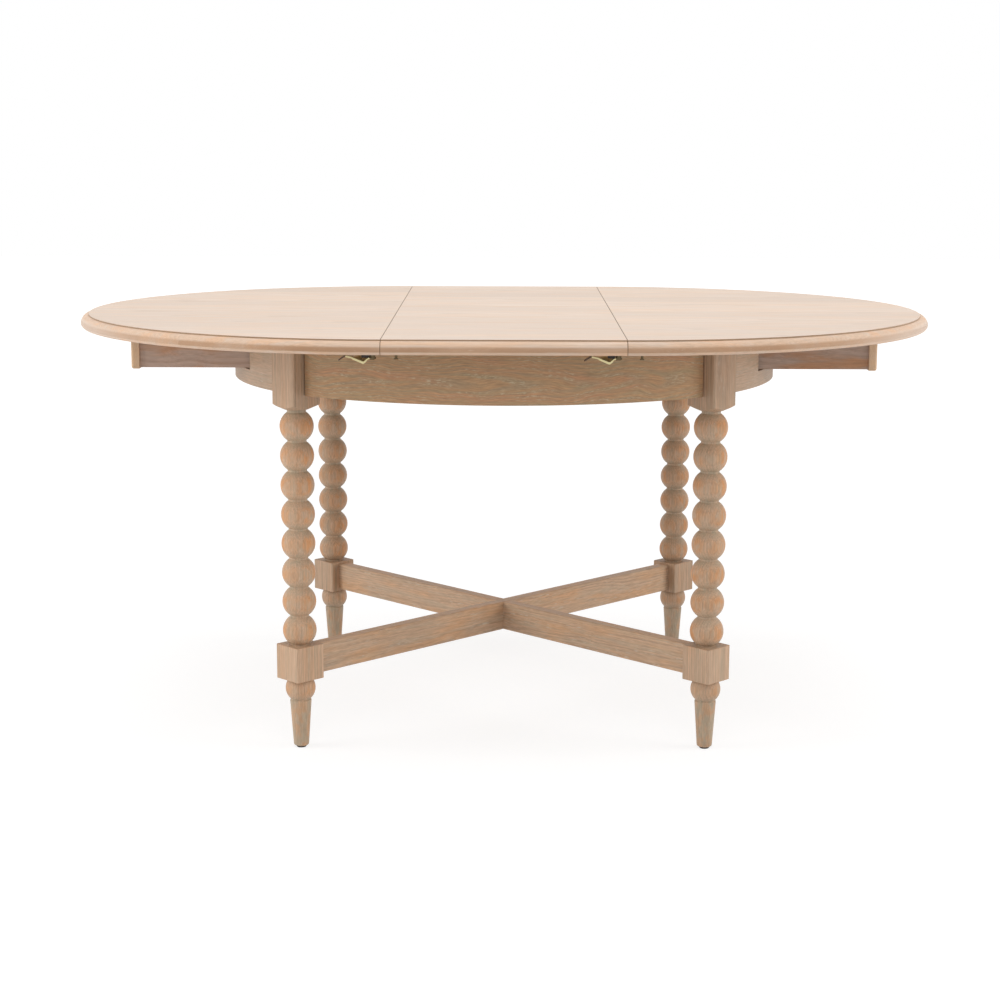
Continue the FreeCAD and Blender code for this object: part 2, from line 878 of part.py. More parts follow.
def table():
    nodes = base_nodes()
    for name, sign in side_signs.items():
        nodes.update(half_nodes(name, sign))
    nodes.update(leaf_nodes())
    nodes.update(lock_nodes())
    return nodes


def write_parts():
    os.makedirs("parts", exist_ok=True)
    for name, shape in table().items():
        shape.exportStep("parts/" + name + ".step")
        print(name, len(shape.Solids), round(shape.Volume), shape.isValid())


write_parts()
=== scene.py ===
"""Looks for the round extending dining table: limed oak, brass swivel locks and a plain studio."""

import logging
import math
from collections.abc import Iterable, Sequence
from dataclasses import dataclass
from enum import Enum
from functools import cached_property
from typing import Any

import bmesh
import bpy
from mathutils import Matrix, Quaternion, Vector

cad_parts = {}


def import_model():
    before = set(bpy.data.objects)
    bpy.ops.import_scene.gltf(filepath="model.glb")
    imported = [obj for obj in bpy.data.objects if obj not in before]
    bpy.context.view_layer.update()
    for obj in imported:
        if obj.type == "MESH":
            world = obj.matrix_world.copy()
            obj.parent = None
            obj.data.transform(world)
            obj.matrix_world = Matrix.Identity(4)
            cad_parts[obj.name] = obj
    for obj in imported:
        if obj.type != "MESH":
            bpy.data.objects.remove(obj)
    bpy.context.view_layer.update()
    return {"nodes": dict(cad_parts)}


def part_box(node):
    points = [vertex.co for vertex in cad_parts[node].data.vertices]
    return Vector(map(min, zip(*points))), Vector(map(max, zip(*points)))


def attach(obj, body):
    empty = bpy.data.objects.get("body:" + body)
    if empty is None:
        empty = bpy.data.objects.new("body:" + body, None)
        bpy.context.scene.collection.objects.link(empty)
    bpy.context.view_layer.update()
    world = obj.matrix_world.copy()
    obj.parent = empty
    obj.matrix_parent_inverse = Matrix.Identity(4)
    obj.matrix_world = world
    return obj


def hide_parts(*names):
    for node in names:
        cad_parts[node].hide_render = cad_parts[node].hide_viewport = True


log = logging.getLogger("round_table")

MM = 0.001
DEPTHS = ("front", "back")
SIDES = ("left", "right")
WAYS = (-1, 1)
CORNERS = ("back_right", "back_left", "front_left", "front_right")

Colour = tuple[float, float, float, float]
Point = tuple[float, float]
Row = Sequence[bmesh.types.BMVert]

WHITE: Colour = (1.0, 1.0, 1.0, 1.0)


def linear(hex_colour: str) -> Colour:
    """Turn an sRGB hex colour into the linear values that a shader takes.

    Args:
        hex_colour: Six hex digits, with or without a leading hash.

    Returns:
        Linear red, green and blue, and an alpha of one.
    """
    digits = hex_colour.lstrip("#")
    parts = []
    for start in (0, 2, 4):
        value = int(digits[start:start + 2], 16) / 255
        parts.append(value / 12.92 if value <= 0.04045 else ((value + 0.055) / 1.055) ** 2.4)
    return (parts[0], parts[1], parts[2], 1.0)


class Step(Enum):
    """The nodes that the finishes are wired from, each with its settings."""

    ADD = ("ShaderNodeMath", {"operation": "ADD"})
    SUBTRACT = ("ShaderNodeMath", {"operation": "SUBTRACT"})
    SUBTRACT_CLAMPED = ("ShaderNodeMath", {"operation": "SUBTRACT", "use_clamp": True})
    MULTIPLY = ("ShaderNodeMath", {"operation": "MULTIPLY"})
    MULTIPLY_ADD = ("ShaderNodeMath", {"operation": "MULTIPLY_ADD"})
    MULTIPLY_ADD_CLAMPED = ("ShaderNodeMath", {"operation": "MULTIPLY_ADD", "use_clamp": True})
    MAXIMUM = ("ShaderNodeMath", {"operation": "MAXIMUM"})
    ABSOLUTE = ("ShaderNodeMath", {"operation": "ABSOLUTE"})
    ROOT = ("ShaderNodeMath", {"operation": "SQRT"})
    ANGLE = ("ShaderNodeMath", {"operation": "ARCTAN2"})
    WHOLE = ("ShaderNodeMath", {"operation": "FLOOR"})
    FRACTION = ("ShaderNodeMath", {"operation": "FRACT"})
    RISE = ("ShaderNodeMapRange", {"interpolation_type": "SMOOTHSTEP"})
    PLACE = ("ShaderNodeTexCoord", {})
    SHIFT = ("ShaderNodeVectorMath", {"operation": "SUBTRACT"})
    STRETCH = ("ShaderNodeVectorMath", {"operation": "MULTIPLY"})
    SCALE = ("ShaderNodeVectorMath", {"operation": "SCALE"})
    LENGTH = ("ShaderNodeVectorMath", {"operation": "LENGTH"})
    TURN = ("ShaderNodeVectorRotate", {"rotation_type": "EULER_XYZ"})
    SPLIT = ("ShaderNodeSeparateXYZ", {})
    JOIN = ("ShaderNodeCombineXYZ", {})
    NOISE = ("ShaderNodeTexNoise", {})
    CHANCE = ("ShaderNodeTexWhiteNoise", {"noise_dimensions": "1D"})
    MIX = ("ShaderNodeMix", {"data_type": "RGBA"})
    SHADE = ("ShaderNodeMix", {"data_type": "RGBA", "blend_type": "MULTIPLY"})
    BUMP = ("ShaderNodeBump", {})
    RAY = ("ShaderNodeLightPath", {})
    PRINCIPLED = ("ShaderNodeBsdfPrincipled", {})
    BACKGROUND = ("ShaderNodeBackground", {})
    MATERIAL_OUTPUT = ("ShaderNodeOutputMaterial", {})
    WORLD_OUTPUT = ("ShaderNodeOutputWorld", {})


class Wiring:
    """A node tree that is being wired."""

    def __init__(self, tree: bpy.types.NodeTree) -> None:
        """Keep the tree, and empty it."""
        tree.nodes.clear()
        self.tree = tree

    def add(self, step: Step, *inputs: Any, **named: Any) -> bpy.types.Node:
        """Add one node with its settings and its links.

        Args:
            step: Which node, with its settings.
            *inputs: For each input in use in turn, a value, or a socket or node to link from.
            **named: The same for inputs by name, with underscores for the name's spaces.

        Returns:
            The new node. As an input of another it stands for its own first output in use.
        """
        kind, settings = step.value
        node = self.tree.nodes.new(kind)
        for name, value in settings.items():
            setattr(node, name, value)
        pairs = list(zip([slot for slot in node.inputs if slot.enabled], inputs))
        pairs += [(node.inputs[name.replace("_", " ")], value) for name, value in named.items()]
        for slot, value in pairs:
            if isinstance(value, bpy.types.Node):
                value = next(output for output in value.outputs if output.enabled)
            if isinstance(value, bpy.types.NodeSocket):
                self.tree.links.new(value, slot)
            else:
                slot.default_value = value
        return node

    def surface(self, **inputs: Any) -> None:
        """Close a material with one Principled shader, given its inputs by name."""
        shader = self.add(Step.PRINCIPLED, **inputs)
        self.add(Step.MATERIAL_OUTPUT, Surface=shader)


def new_material(name: str) -> bpy.types.Material:
    """Make a material that is wired from nodes."""
    material = bpy.data.materials.new(name)
    material.use_nodes = True
    return material


class FibreRun(Enum):
    """Which way the wood's fibres run, as the turn in degrees that brings them onto X."""

    ALONG_X = (0.0, 0.0, 0.0)
    ALONG_Y = (0.0, 0.0, -90.0)
    UPRIGHT = (0.0, 90.0, 0.0)
    DIAGONAL = (0.0, 0.0, -45.0)
    COUNTER_DIAGONAL = (0.0, 0.0, -135.0)


@dataclass(frozen=True)
class Sawing:
    """How a piece was sawn from the log.

    Attributes:
        run: The way the fibres lie.
        centre: A point on the piece's own middle line, in metres.
        pith: How far the heart of the log lies across and in depth, in millimetres.
        slant: How fast the heart drifts in depth along the piece, in millimetres per millimetre.
        seed: Shifts the figure, so that no two pieces share it.
        bend: Radius of a bent piece in metres, round centre, or nothing for a straight one.
        facing: The way a bent piece faces, in degrees from +X.
        board: Width of the boards that are glued side by side, in millimetres, or nothing.
        turned: Where along the piece the lathe cut it, in millimetres, as starts and ends.
        tone: How light this stick of wood is beside the others.
        head: Where a turning's square head starts, in millimetres, and how light that is drawn
        beside the rest: painted shade, for the shade that the top casts on the square head.
    """

    run: FibreRun
    centre: tuple[float, float, float] = (0.0, 0.0, 0.0)
    pith: Point = (0.0, -70.0)
    slant: float = 0.03
    seed: float = 0.0
    bend: float = 0.0
    facing: float = 0.0
    board: float = 0.0
    turned: tuple[Point, ...] = ()
    tone: float = 1.0
    head: Point = (0.0, 1.0)


@dataclass(frozen=True)
class Figure:
    """One layer of the wood's figure.

    Attributes:
        lengths: Its grains' size along, across and in depth, in millimetres.
        detail: How many finer layers are added.
        rise: Levels of the noise between which it rises from nothing to one, or nothing for
            the noise itself.
    """

    lengths: tuple[float, float, float]
    detail: float
    rise: tuple[float, ...] = ()


# Oak's fibres are finer than 0.05 mm, so they are drawn as bundles of about 2 mm that show
# from across a room. The wider layers have the sizes that sawn oak boards show.
SWAY = Figure((420.0, 90.0, 90.0), 2.0)
WAVER = Figure((120.0, 60.0, 60.0), 1.0)
PATCHES = Figure((160.0, 30.0, 30.0), 2.0, (0.44, 0.66))
STREAKS = Figure((170.0, 11.0, 11.0), 3.0, (0.46, 0.7))
FIBRES = Figure((130.0, 1.7, 1.7), 3.0)
CUTS = Figure((19.0, 1.9, 1.9), 2.0)
CLUSTERS = Figure((70.0, 14.0, 14.0), 1.0, (0.4, 0.62))
# The unevenness of a moulding's painted shade band.
SHADE_BAND_PATCHES = Figure((170.0, 120.0, 60.0), 1.0, (0.3, 0.66))
BLOTCHES = Figure((26.0, 13.0, 13.0), 2.0)


class WoodWiring(Wiring):
    """A wood finish that is being wired, in the fibres' own coordinates in millimetres."""

    crumble = 0.55

    def __init__(self, tree: bpy.types.NodeTree, sawing: Sawing) -> None:
        """Keep the tree and the sawing that the nodes are made for."""
        super().__init__(tree)
        self.sawing = sawing

    def figure(self, place: bpy.types.Node, figure: Figure) -> bpy.types.Node:
        """Draw one layer of the wood's figure.

        Args:
            place: The fibres' coordinates as one vector.
            figure: The layer.

        Returns:
            The node with the layer's level.
        """
        scales = tuple(1 / length for length in figure.lengths)
        scaled = self.add(Step.STRETCH, place, scales)
        noise = self.add(Step.NOISE, scaled, 1.0, figure.detail, self.crumble)
        return self.add(Step.RISE, noise, *figure.rise) if figure.rise else noise

    def distance(self, first: Any, second: Any) -> bpy.types.Node:
        """Work out how far a place is from an axis, from its two offsets."""
        squares = [self.add(Step.MULTIPLY, offset, offset) for offset in (first, second)]
        return self.add(Step.ROOT, self.add(Step.ADD, *squares))

    def onto_fibres(self, vector: Any) -> bpy.types.Node:
        """Turn a vector so that its X runs along the fibres."""
        turn = (0.0, 0.0, -self.sawing.facing) if self.sawing.bend else self.sawing.run.value
        return self.add(Step.TURN, vector, Rotation=tuple(map(math.radians, turn)))

    def along_across_depth(self) -> tuple[Any, Any, Any]:
        """Bring the object's coordinates onto the fibres.

        Returns:
            The places along the fibres, across and in depth, in millimetres.
        """
        place = self.add(Step.PLACE).outputs["Object"]
        turned = self.onto_fibres(self.add(Step.SHIFT, place, self.sawing.centre))
        if self.sawing.bend:
            return self.unrolled(turned)
        along, across, depth = self.add(Step.SPLIT, self.add(Step.SCALE, turned, 1 / MM)).outputs
        return along, across, depth

    def unrolled(self, turned: bpy.types.Node) -> tuple[Any, Any, Any]:
        """Unroll a piece that was bent round an upright axis.

        Args:
            turned: The place from the axis of the bend, in metres, with X through its middle.

        Returns:
            The places along the fibres, across and in depth, in millimetres.
        """
        x, y, z = self.add(Step.SPLIT, turned).outputs
        angle = self.add(Step.ANGLE, y, x)
        reach = self.add(Step.SUBTRACT, self.distance(x, y), self.sawing.bend)
        return (self.add(Step.MULTIPLY, angle, self.sawing.bend / MM),
                self.add(Step.MULTIPLY, z, 1 / MM), self.add(Step.MULTIPLY, reach, 1 / MM))

    def squareness(self) -> tuple[bpy.types.Node, bpy.types.Node]:
        """Tell how squarely the surface faces along the fibres, and towards the log's heart.

        Returns:
            Both levels, each from nothing to one.
        """
        normal = self.add(Step.PLACE).outputs["Normal"]
        along, across, depth = self.add(Step.SPLIT, self.onto_fibres(normal)).outputs
        aside, below = self.sawing.pith
        far = math.hypot(aside, below)
        heart = self.add(Step.ADD, self.add(Step.MULTIPLY, across, aside / far),
                         self.add(Step.MULTIPLY, depth, below / far))
        return self.add(Step.ABSOLUTE, along), self.add(Step.ABSOLUTE, heart)


@dataclass(frozen=True)
class LimedOak:
    """European oak, planed and sanded, limed with white wax and sealed with a matt lacquer.

    The lime stays in the open pores of the early wood, so each growth ring shows as a row of
    pale dashes beside a plain tan band, and it stays on end grain, in the necks of a turning.
    Where the sanding of a turned bead went through it, the wood is bare and warmer. The lacquer
    is matt, with a wide soft sheen.

    Attributes:
        name: The finish's name.
        late_wood: Colour of the dense part of each ring.
        early_wood: Colour of the porous part of each ring.
        warm: Colour of the warmer patches that the lime covers less.
        lime: Colour of the wax in the pores.
        washed: Colour of the greyer streaks that hold more lime.
        figure: How much of the early wood's colour shows, from nothing to one.
        warmth: How much of the warm patches shows, from nothing to one.
        wash: How much of the greyer streaks shows, from nothing to one.
        limed: How much of the lime in the pores shows, from nothing to one.
        rubbed: How much the sanding of a turning bared, from nothing to one.
        streak: How strong the fine streaks of the fibres are.
        dash: How strong the short dashes of the cut fibres are.
        crowd: Level of the noise over which a pore shows, lower for more pores.
        sway: How far the rings wander, in millimetres.
        waver: How far the fibres themselves wander across the piece, in millimetres.
        end_lime: How much lime the end grain holds where a moulding cuts across the fibres.
        shade_band_colour: Colour of the band round a moulding's widest part that is drawn darker
            as painted shade, where the moulding faces sideways, or nothing.
        band: Lowest and highest level of that painted shade band, in metres.
        ring: Width of a growth ring in millimetres.
        pore: Length and width of a pore row in millimetres, drawn about three times as wide as
            the real 0.3 mm so that it shows from across a room.
        roughness: The lacquer's roughness.
        relief: Depth of the pores in millimetres.
        seed_shift: How far along the log one whole seed shifts the figure, in millimetres.
        stick_tone: How much the boards of one top differ in lightness.
        end_rise: How square to the fibres a surface is where end grain starts and is complete.
        pore_roughness: How much rougher the wax in a pore is than the lacquer.
    """

    name: str
    late_wood: str
    early_wood: str
    warm: str
    lime: str
    washed: str
    figure: float = 0.5
    warmth: float = 0.4
    wash: float = 0.4
    limed: float = 0.5
    rubbed: float = 0.0
    streak: float = 0.3
    dash: float = 0.18
    crowd: float = 0.54
    sway: float = 18.0
    waver: float = 0.0
    end_lime: float = 0.0
    shade_band_colour: str = ""
    band: Point = (0.0, 0.0)
    ring: float = 4.2
    pore: Point = (14.0, 0.9)
    roughness: float = 0.52
    relief: float = 0.12
    seed_shift: float = 173.0
    stick_tone: float = 0.08
    end_rise: Point = (0.5, 0.92)
    pore_roughness: float = 0.16

    def material(self, label: str, sawing: Sawing) -> bpy.types.Material:
        """Build the finish for one piece.

        Args:
            label: The piece's name, added to the material's.
            sawing: How the piece was sawn.

        Returns:
            The piece's own material.
        """
        material = new_material(f"{self.name}_{label}")
        wood = WoodWiring(material.node_tree, sawing)
        along, across, depth = wood.along_across_depth()
        tone: Any = 0.5
        if sawing.board:
            along, across, tone = self.boards(wood, along, across)
        place = along, across, depth
        along = wood.add(Step.ADD, along, sawing.seed * self.seed_shift)
        grain = wood.add(Step.JOIN, along, across, depth)
        if self.waver:
            bend = wood.figure(grain, WAVER)
            across = wood.add(Step.MULTIPLY_ADD, bend, self.waver, across)
            grain = wood.add(Step.JOIN, along, across, depth)

        early = self.early_wood_level(wood, (along, across, depth), grain)
        pores = self.pore_level(wood, grain, early)
        warm = wood.add(Step.MULTIPLY, wood.figure(grain, PATCHES), self.warmth)
        washed = wood.add(Step.MULTIPLY, wood.figure(grain, STREAKS), self.wash)
        if sawing.turned:
            warm, washed = self.sanded(wood, place, grain, (warm, washed))
        end: Any = 0.0
        if self.end_lime:
            square = wood.add(Step.RISE, wood.squareness()[0], *self.end_rise)
            end = wood.add(Step.MULTIPLY, square, self.end_lime)
            washed = wood.add(Step.MAXIMUM, washed, end)

        body: Any = linear(self.late_wood)
        layers = ((wood.add(Step.MULTIPLY, early, self.figure), self.early_wood),
                  (warm, self.warm), (washed, self.washed))
        for share, colour in layers:
            body = wood.add(Step.MIX, share, body, linear(colour))
        body = wood.add(Step.SHADE, 1.0, body, self.lightness(wood, grain, place[0], tone))
        # Painted shade: a darker band round the moulding's widest part, where it faces sideways.
        if self.shade_band_colour:
            body = wood.add(Step.MIX, self.painted_shade_band_level(wood, grain, end), body,
                            linear(self.shade_band_colour))
        limed = wood.add(Step.MULTIPLY, pores, self.limed)
        body = wood.add(Step.MIX, limed, body, linear(self.lime))

        roughness = wood.add(Step.MULTIPLY_ADD, pores, self.pore_roughness, self.roughness)
        height = wood.add(Step.MULTIPLY_ADD, early, -0.3, wood.add(Step.MULTIPLY, pores, -0.7))
        bump = wood.add(Step.BUMP, Strength=0.6, Distance=self.relief * MM, Height=height)
        wood.surface(Base_Color=body, Roughness=roughness, Normal=bump)
        return material

    def lightness(self, wood: WoodWiring, grain: bpy.types.Node, along: Any,
                  tone: Any) -> bpy.types.Node:
        """Work out how light a place is: fibres, board, stick, and painted shade on a square head.

        Args:
            wood: The finish that is being wired.
            grain: The place as one vector.
            along: The place along the fibres, from the piece's own middle.
            tone: The board's own lightness, from nothing to one.

        Returns:
            The lightness, which the colour is multiplied by.
        """
        level: Any = wood.sawing.tone
        strengths = ((wood.figure(grain, FIBRES), self.streak),
                     (wood.figure(grain, CUTS), self.dash), (tone, self.stick_tone))
        for source, strength in strengths:
            offset = wood.add(Step.MULTIPLY_ADD, source, strength, -strength / 2)
            level = wood.add(Step.ADD, level, offset)
        # Painted shade: a turning's square head is drawn darker, for the shade that the top casts
        # on it.
        start, light = wood.sawing.head
        if light != 1.0:
            head = wood.add(Step.RISE, along, start - 1.0, start + 1.0)
            level = wood.add(Step.MULTIPLY, level,
                             wood.add(Step.MULTIPLY_ADD, head, light - 1.0, 1.0))
        return level

    def early_wood_level(self, wood: WoodWiring, place: Sequence[Any],
                         grain: bpy.types.Node) -> bpy.types.Node:
        """Find how far into a ring's porous part a place is.

        Args:
            wood: The finish that is being wired.
            place: The place along, across and in depth.
            grain: The same place as one vector.

        Returns:
            A level that jumps up at the start of each ring and then falls away, each ring to
            its own strength, the weakest to about a third.
        """
        rings = self.rings(wood, place, wood.figure(grain, SWAY))
        part = wood.add(Step.FRACTION, rings)
        fall = wood.add(Step.SUBTRACT, 1.0, wood.add(Step.RISE, part, 0.3, 0.8))
        rise = wood.add(Step.RISE, part, 0.0, 0.1)
        chance = wood.add(Step.CHANCE, wood.add(Step.WHOLE, rings))
        strength = wood.add(Step.MULTIPLY_ADD, chance, 0.65, 0.35)
        return wood.add(Step.MULTIPLY, wood.add(Step.MULTIPLY, rise, fall), strength)

    def pore_level(self, wood: WoodWiring, grain: bpy.types.Node,
                   early: bpy.types.Node) -> bpy.types.Node:
        """Scatter the pores as short dashes in clusters, most of them in the early wood.

        Args:
            wood: The finish that is being wired.
            grain: The place as one vector.
            early: The early wood's level.

        Returns:
            The pores' level.
        """
        length, width = self.pore
        edge = 0.14
        speck = wood.figure(grain, Figure((length, width, width), 1.0,
                                          (self.crowd, self.crowd + edge)))
        share = wood.add(Step.MULTIPLY_ADD, early, 0.8, 0.2)
        clustered = wood.add(Step.MULTIPLY, share, wood.figure(grain, CLUSTERS))
        return wood.add(Step.MULTIPLY, speck, clustered)

    def painted_shade_band_level(self, wood: WoodWiring, grain: bpy.types.Node, end: Any) -> bpy.types.Node:
        """Find the band round a moulding's widest part that is drawn darker as painted shade.

        Args:
            wood: The finish that is being wired.
            grain: The place as one vector.
            end: The end grain's level, on which less of the painted shade shows.

        Returns:
            The band's uneven level, with soft edges.
        """
        low, high = self.band
        place = wood.add(Step.PLACE).outputs["Object"]
        level = wood.add(Step.SPLIT, place).outputs["Z"]
        above = wood.add(Step.RISE, level, low - 1.6 * MM, low + 1.0 * MM)
        below = wood.add(Step.RISE, level, high - 2.2 * MM, high + 2.6 * MM)
        inside = wood.add(Step.SUBTRACT_CLAMPED, above, below)
        uneven = wood.add(Step.MULTIPLY_ADD, wood.figure(grain, SHADE_BAND_PATCHES), 0.35, 0.6)
        kept = wood.add(Step.MULTIPLY_ADD, end, -0.8, 1.0)
        return wood.add(Step.MULTIPLY, wood.add(Step.MULTIPLY, inside, uneven), kept)

    def sanded(self, wood: WoodWiring, place: Sequence[Any], grain: bpy.types.Node,
               levels: tuple[Any, Any]) -> tuple[bpy.types.Node, bpy.types.Node]:
        """Bare the wood where a turning was sanded through, and keep lime on its end grain.

        Args:
            wood: The finish that is being wired.
            place: The place along, across and in depth, from the turning's own axis.
            grain: The place as one vector, shifted for this piece.
            levels: The warm patches' level and the greyer streaks' level.

        Returns:
            Both levels, changed where the piece is turned.
        """
        neck, crown, foot = (18.5, 25.0), (23.0, 29.5), (84.0, 92.0)
        along, across, depth = place
        warm, washed = levels
        turned: Any = 0.0
        for ends in wood.sawing.turned:
            edges = [wood.add(Step.RISE, along, end - 1.0, end + 1.0) for end in ends]
            turned = wood.add(Step.ADD, turned, wood.add(Step.SUBTRACT, *edges))
        reach = wood.distance(across, depth)
        necks = wood.add(Step.SUBTRACT, 1.0, wood.add(Step.RISE, reach, *neck))
        end, heart = wood.squareness()
        end = wood.add(Step.MAXIMUM, wood.add(Step.RISE, end, 0.3, 0.9), necks)
        blotch = wood.figure(grain, BLOTCHES)
        facing = wood.add(Step.MULTIPLY_ADD, wood.add(Step.RISE, heart, 0.2, 0.9), 0.6, 0.4)
        bare = wood.add(Step.MULTIPLY, facing, wood.add(Step.RISE, blotch, 0.36, 0.62))
        bare = wood.add(Step.MULTIPLY, bare, wood.add(Step.RISE, reach, *crown))
        below = wood.add(Step.SUBTRACT, 1.0, wood.add(Step.RISE, along, *foot))
        worn = wood.add(Step.MULTIPLY, wood.add(Step.RISE, blotch, 0.5, 0.62), 0.45)
        bare = wood.add(Step.MAXIMUM, bare, wood.add(Step.MULTIPLY, below, worn))
        bare = wood.add(Step.MULTIPLY, bare, turned)
        warm = wood.add(Step.MULTIPLY_ADD_CLAMPED, bare, self.rubbed, warm)
        held = wood.add(Step.MULTIPLY_ADD, wood.add(Step.RISE, blotch, 0.36, 0.6), -0.55, 0.85)
        held = wood.add(Step.MULTIPLY, wood.add(Step.MULTIPLY, end, held), turned)
        return warm, wood.add(Step.MAXIMUM, washed, held)

    def boards(self, wood: WoodWiring, along: Any, across: Any) -> tuple[Any, Any, Any]:
        """Split a wide top into glued boards, each from another log.

        Args:
            wood: The finish that is being wired.
            along: The place along the fibres.
            across: The place across the boards.

        Returns:
            The place along and across in each board's own log, and the board's own tone.
        """
        width, seed = wood.sawing.board, wood.sawing.seed
        logs_apart = 3000.0
        number = wood.add(Step.WHOLE, wood.add(Step.MULTIPLY_ADD, across, 1 / width, seed))
        chance = wood.add(Step.CHANCE, number)
        middle = wood.add(Step.MULTIPLY, wood.add(Step.SUBTRACT, number, seed - 0.5), width)
        sideways = wood.add(Step.MULTIPLY_ADD, chance, width * 0.9, -width * 0.45)
        local = wood.add(Step.ADD, wood.add(Step.SUBTRACT, across, middle), sideways)
        return wood.add(Step.MULTIPLY_ADD, chance, logs_apart, along), local, chance

    def rings(self, wood: WoodWiring, place: Sequence[Any],
              sway: bpy.types.Node) -> bpy.types.Node:
        """Count the growth rings between the log's heart and a place.

        Args:
            wood: The finish that is being wired.
            place: The place along, across and in depth.
            sway: How the log's shape wanders.

        Returns:
            The number of rings, with its fraction.
        """
        along, across, depth = place
        pith_across, pith_depth = wood.sawing.pith
        aside = wood.add(Step.SUBTRACT, across, pith_across)
        drift = wood.add(Step.MULTIPLY, along, wood.sawing.slant)
        below = wood.add(Step.ADD, wood.add(Step.SUBTRACT, depth, pith_depth), drift)
        wander = wood.add(Step.MULTIPLY, sway, self.sway)
        reach = wood.add(Step.ADD, wood.distance(aside, below), wander)
        return wood.add(Step.MULTIPLY, reach, 1 / self.ring)


@dataclass(frozen=True)
class PlatedMetal:
    """Pressed sheet or turned wire, plated and left a little uneven by the bath.

    Attributes:
        name: The finish's name.
        colour: The metal's colour at a right angle.
        roughness: How wide the plating's highlights spread.
        grit: Size of its uneven patches in millimetres.
        metallic: How much of the light the bare metal returns, less under a film that scatters.
        spread: How much the roughness differs between patches.
    """

    name: str
    colour: str
    roughness: float
    grit: float = 1.5
    metallic: float = 1.0
    spread: float = 0.14

    def material(self) -> bpy.types.Material:
        """Build the finish, with faint patches in its gloss."""
        material = new_material(self.name)
        wiring = Wiring(material.node_tree)
        place = wiring.add(Step.PLACE).outputs["Object"]
        patches = wiring.add(Step.NOISE, place, 1 / (self.grit * MM), 2.0)
        gloss = wiring.add(Step.MULTIPLY_ADD, patches, self.spread,
                           self.roughness - self.spread / 2)
        wiring.surface(Base_Color=linear(self.colour), Metallic=self.metallic, Roughness=gloss)
        return material


@dataclass(frozen=True)
class MouldedNylon:
    """Injection moulded nylon with a fine sparked grain that dulls it.

    Attributes:
        name: The finish's name.
        colour: The plastic's own colour.
        roughness: How matt the grain leaves it.
        grit: Size of the grain in millimetres, drawn coarser than the real 0.1 mm so that it
            shows.
        relief: Depth of the grain in millimetres.
    """

    name: str
    colour: str
    roughness: float = 0.5
    grit: float = 0.6
    relief: float = 0.05

    def material(self) -> bpy.types.Material:
        """Build the finish with its fine moulded grain."""
        material = new_material(self.name)
        wiring = Wiring(material.node_tree)
        place = wiring.add(Step.PLACE).outputs["Object"]
        grains = wiring.add(Step.NOISE, place, 1 / (self.grit * MM), 1.0)
        bump = wiring.add(Step.BUMP, Strength=0.4, Distance=self.relief * MM, Height=grains)
        wiring.surface(Base_Color=linear(self.colour), Roughness=self.roughness, Normal=bump)
        return material


# Planed and limed, then rubbed back level: pale and even, with a faint figure.
TOP_OAK = LimedOak(
    "limed_oak_top", late_wood="#E1CCBB", early_wood="#CEB6A1", warm="#E4C4A7", lime="#EEE4DA",
    washed="#DACBBD", figure=0.65, warmth=0.45, wash=0.45, limed=0.6, streak=0.24, dash=0.12)
# Moulded by a cutter, with lime that stays on the end grain at the table's ends, and a darker
# soft band round the widest part: painted shade, where the moulding faces sideways.
RIM_OAK = LimedOak(
    "limed_oak_rim", late_wood="#DABBA1", early_wood="#C8A88D", warm="#E2B48E", lime="#E6D9C9",
    washed="#D8C8BA", figure=0.5, warmth=0.5, wash=0.5, limed=0.3, streak=0.38, dash=0.26,
    end_lime=0.75, shade_band_colour="#AC8463", band=(0.7424, 0.7506), relief=0.05)
# The step beside the field: a fine dark line, partly the stain and dust that settle there and
# partly painted shade for the step's own shadow.
QUIRK_STAIN_AND_SHADE_OAK = LimedOak(
    "stained_and_shade_darkened_oak_quirk", late_wood="#A88C72", early_wood="#957A61", warm="#B09070",
    lime="#BFAE98", washed="#A68E74", limed=0.2)
# The sawn faces that meet in a seam, stained by handling: darker than the top.
JOINT_OAK = LimedOak(
    "oak_seam_joint", late_wood="#96795F", early_wood="#86694F", warm="#9C7C5E",
    lime="#A8947C", washed="#947C64", limed=0.1)
# The underside, sealed and not limed: browner and more matt.
UNDER_OAK = LimedOak(
    "sealed_oak_underside", late_wood="#B08D6C", early_wood="#997656", warm="#B88F68",
    lime="#B8A288", washed="#A98C70", limed=0.2, roughness=0.6)
# Bent along its length and brushed before liming: wavy dark fibres with crowded pale pores.
APRON_OAK = LimedOak(
    "limed_oak_apron", late_wood="#B79069", early_wood="#9F8B6F", warm="#C08A66",
    lime="#C6B99C", washed="#A19270", figure=0.8, warmth=0.55, wash=0.55, limed=0.75,
    streak=0.5, dash=0.8, crowd=0.5, waver=32.0, pore=(9.0, 1.5))
# The same brushed finish on the paler end aprons, with straighter fibres.
SIDE_OAK = LimedOak(
    "limed_oak_side_apron", late_wood="#C1A48A", early_wood="#AE977F", warm="#C69F7E",
    lime="#D0C6B6", washed="#B6A791", figure=0.7, warmth=0.3, wash=0.4, limed=0.7,
    streak=0.44, dash=0.5, pore=(15.0, 1.4))
# Turned and sanded on the lathe after liming: bare orange crowns, greyer lime in the necks.
LEG_OAK = LimedOak(
    "limed_oak_turning", late_wood="#CAA98C", early_wood="#AC9077", warm="#CF9564",
    lime="#D0C9B9", washed="#B0A088", figure=0.55, warmth=0.2, wash=0.4, limed=0.45,
    rubbed=1.0, ring=5.2, sway=34.0, streak=0.72, dash=0.4)
# Planed and brushed rails: long streaks with pale dashes between.
RAIL_OAK = LimedOak(
    "limed_oak_rail", late_wood="#C4A487", early_wood="#A58870", warm="#CD9C70",
    lime="#D4CCBC", washed="#B5A38C", figure=0.7, warmth=0.5, wash=0.5, limed=0.65,
    streak=0.66, dash=0.6, waver=18.0, pore=(16.0, 1.3))
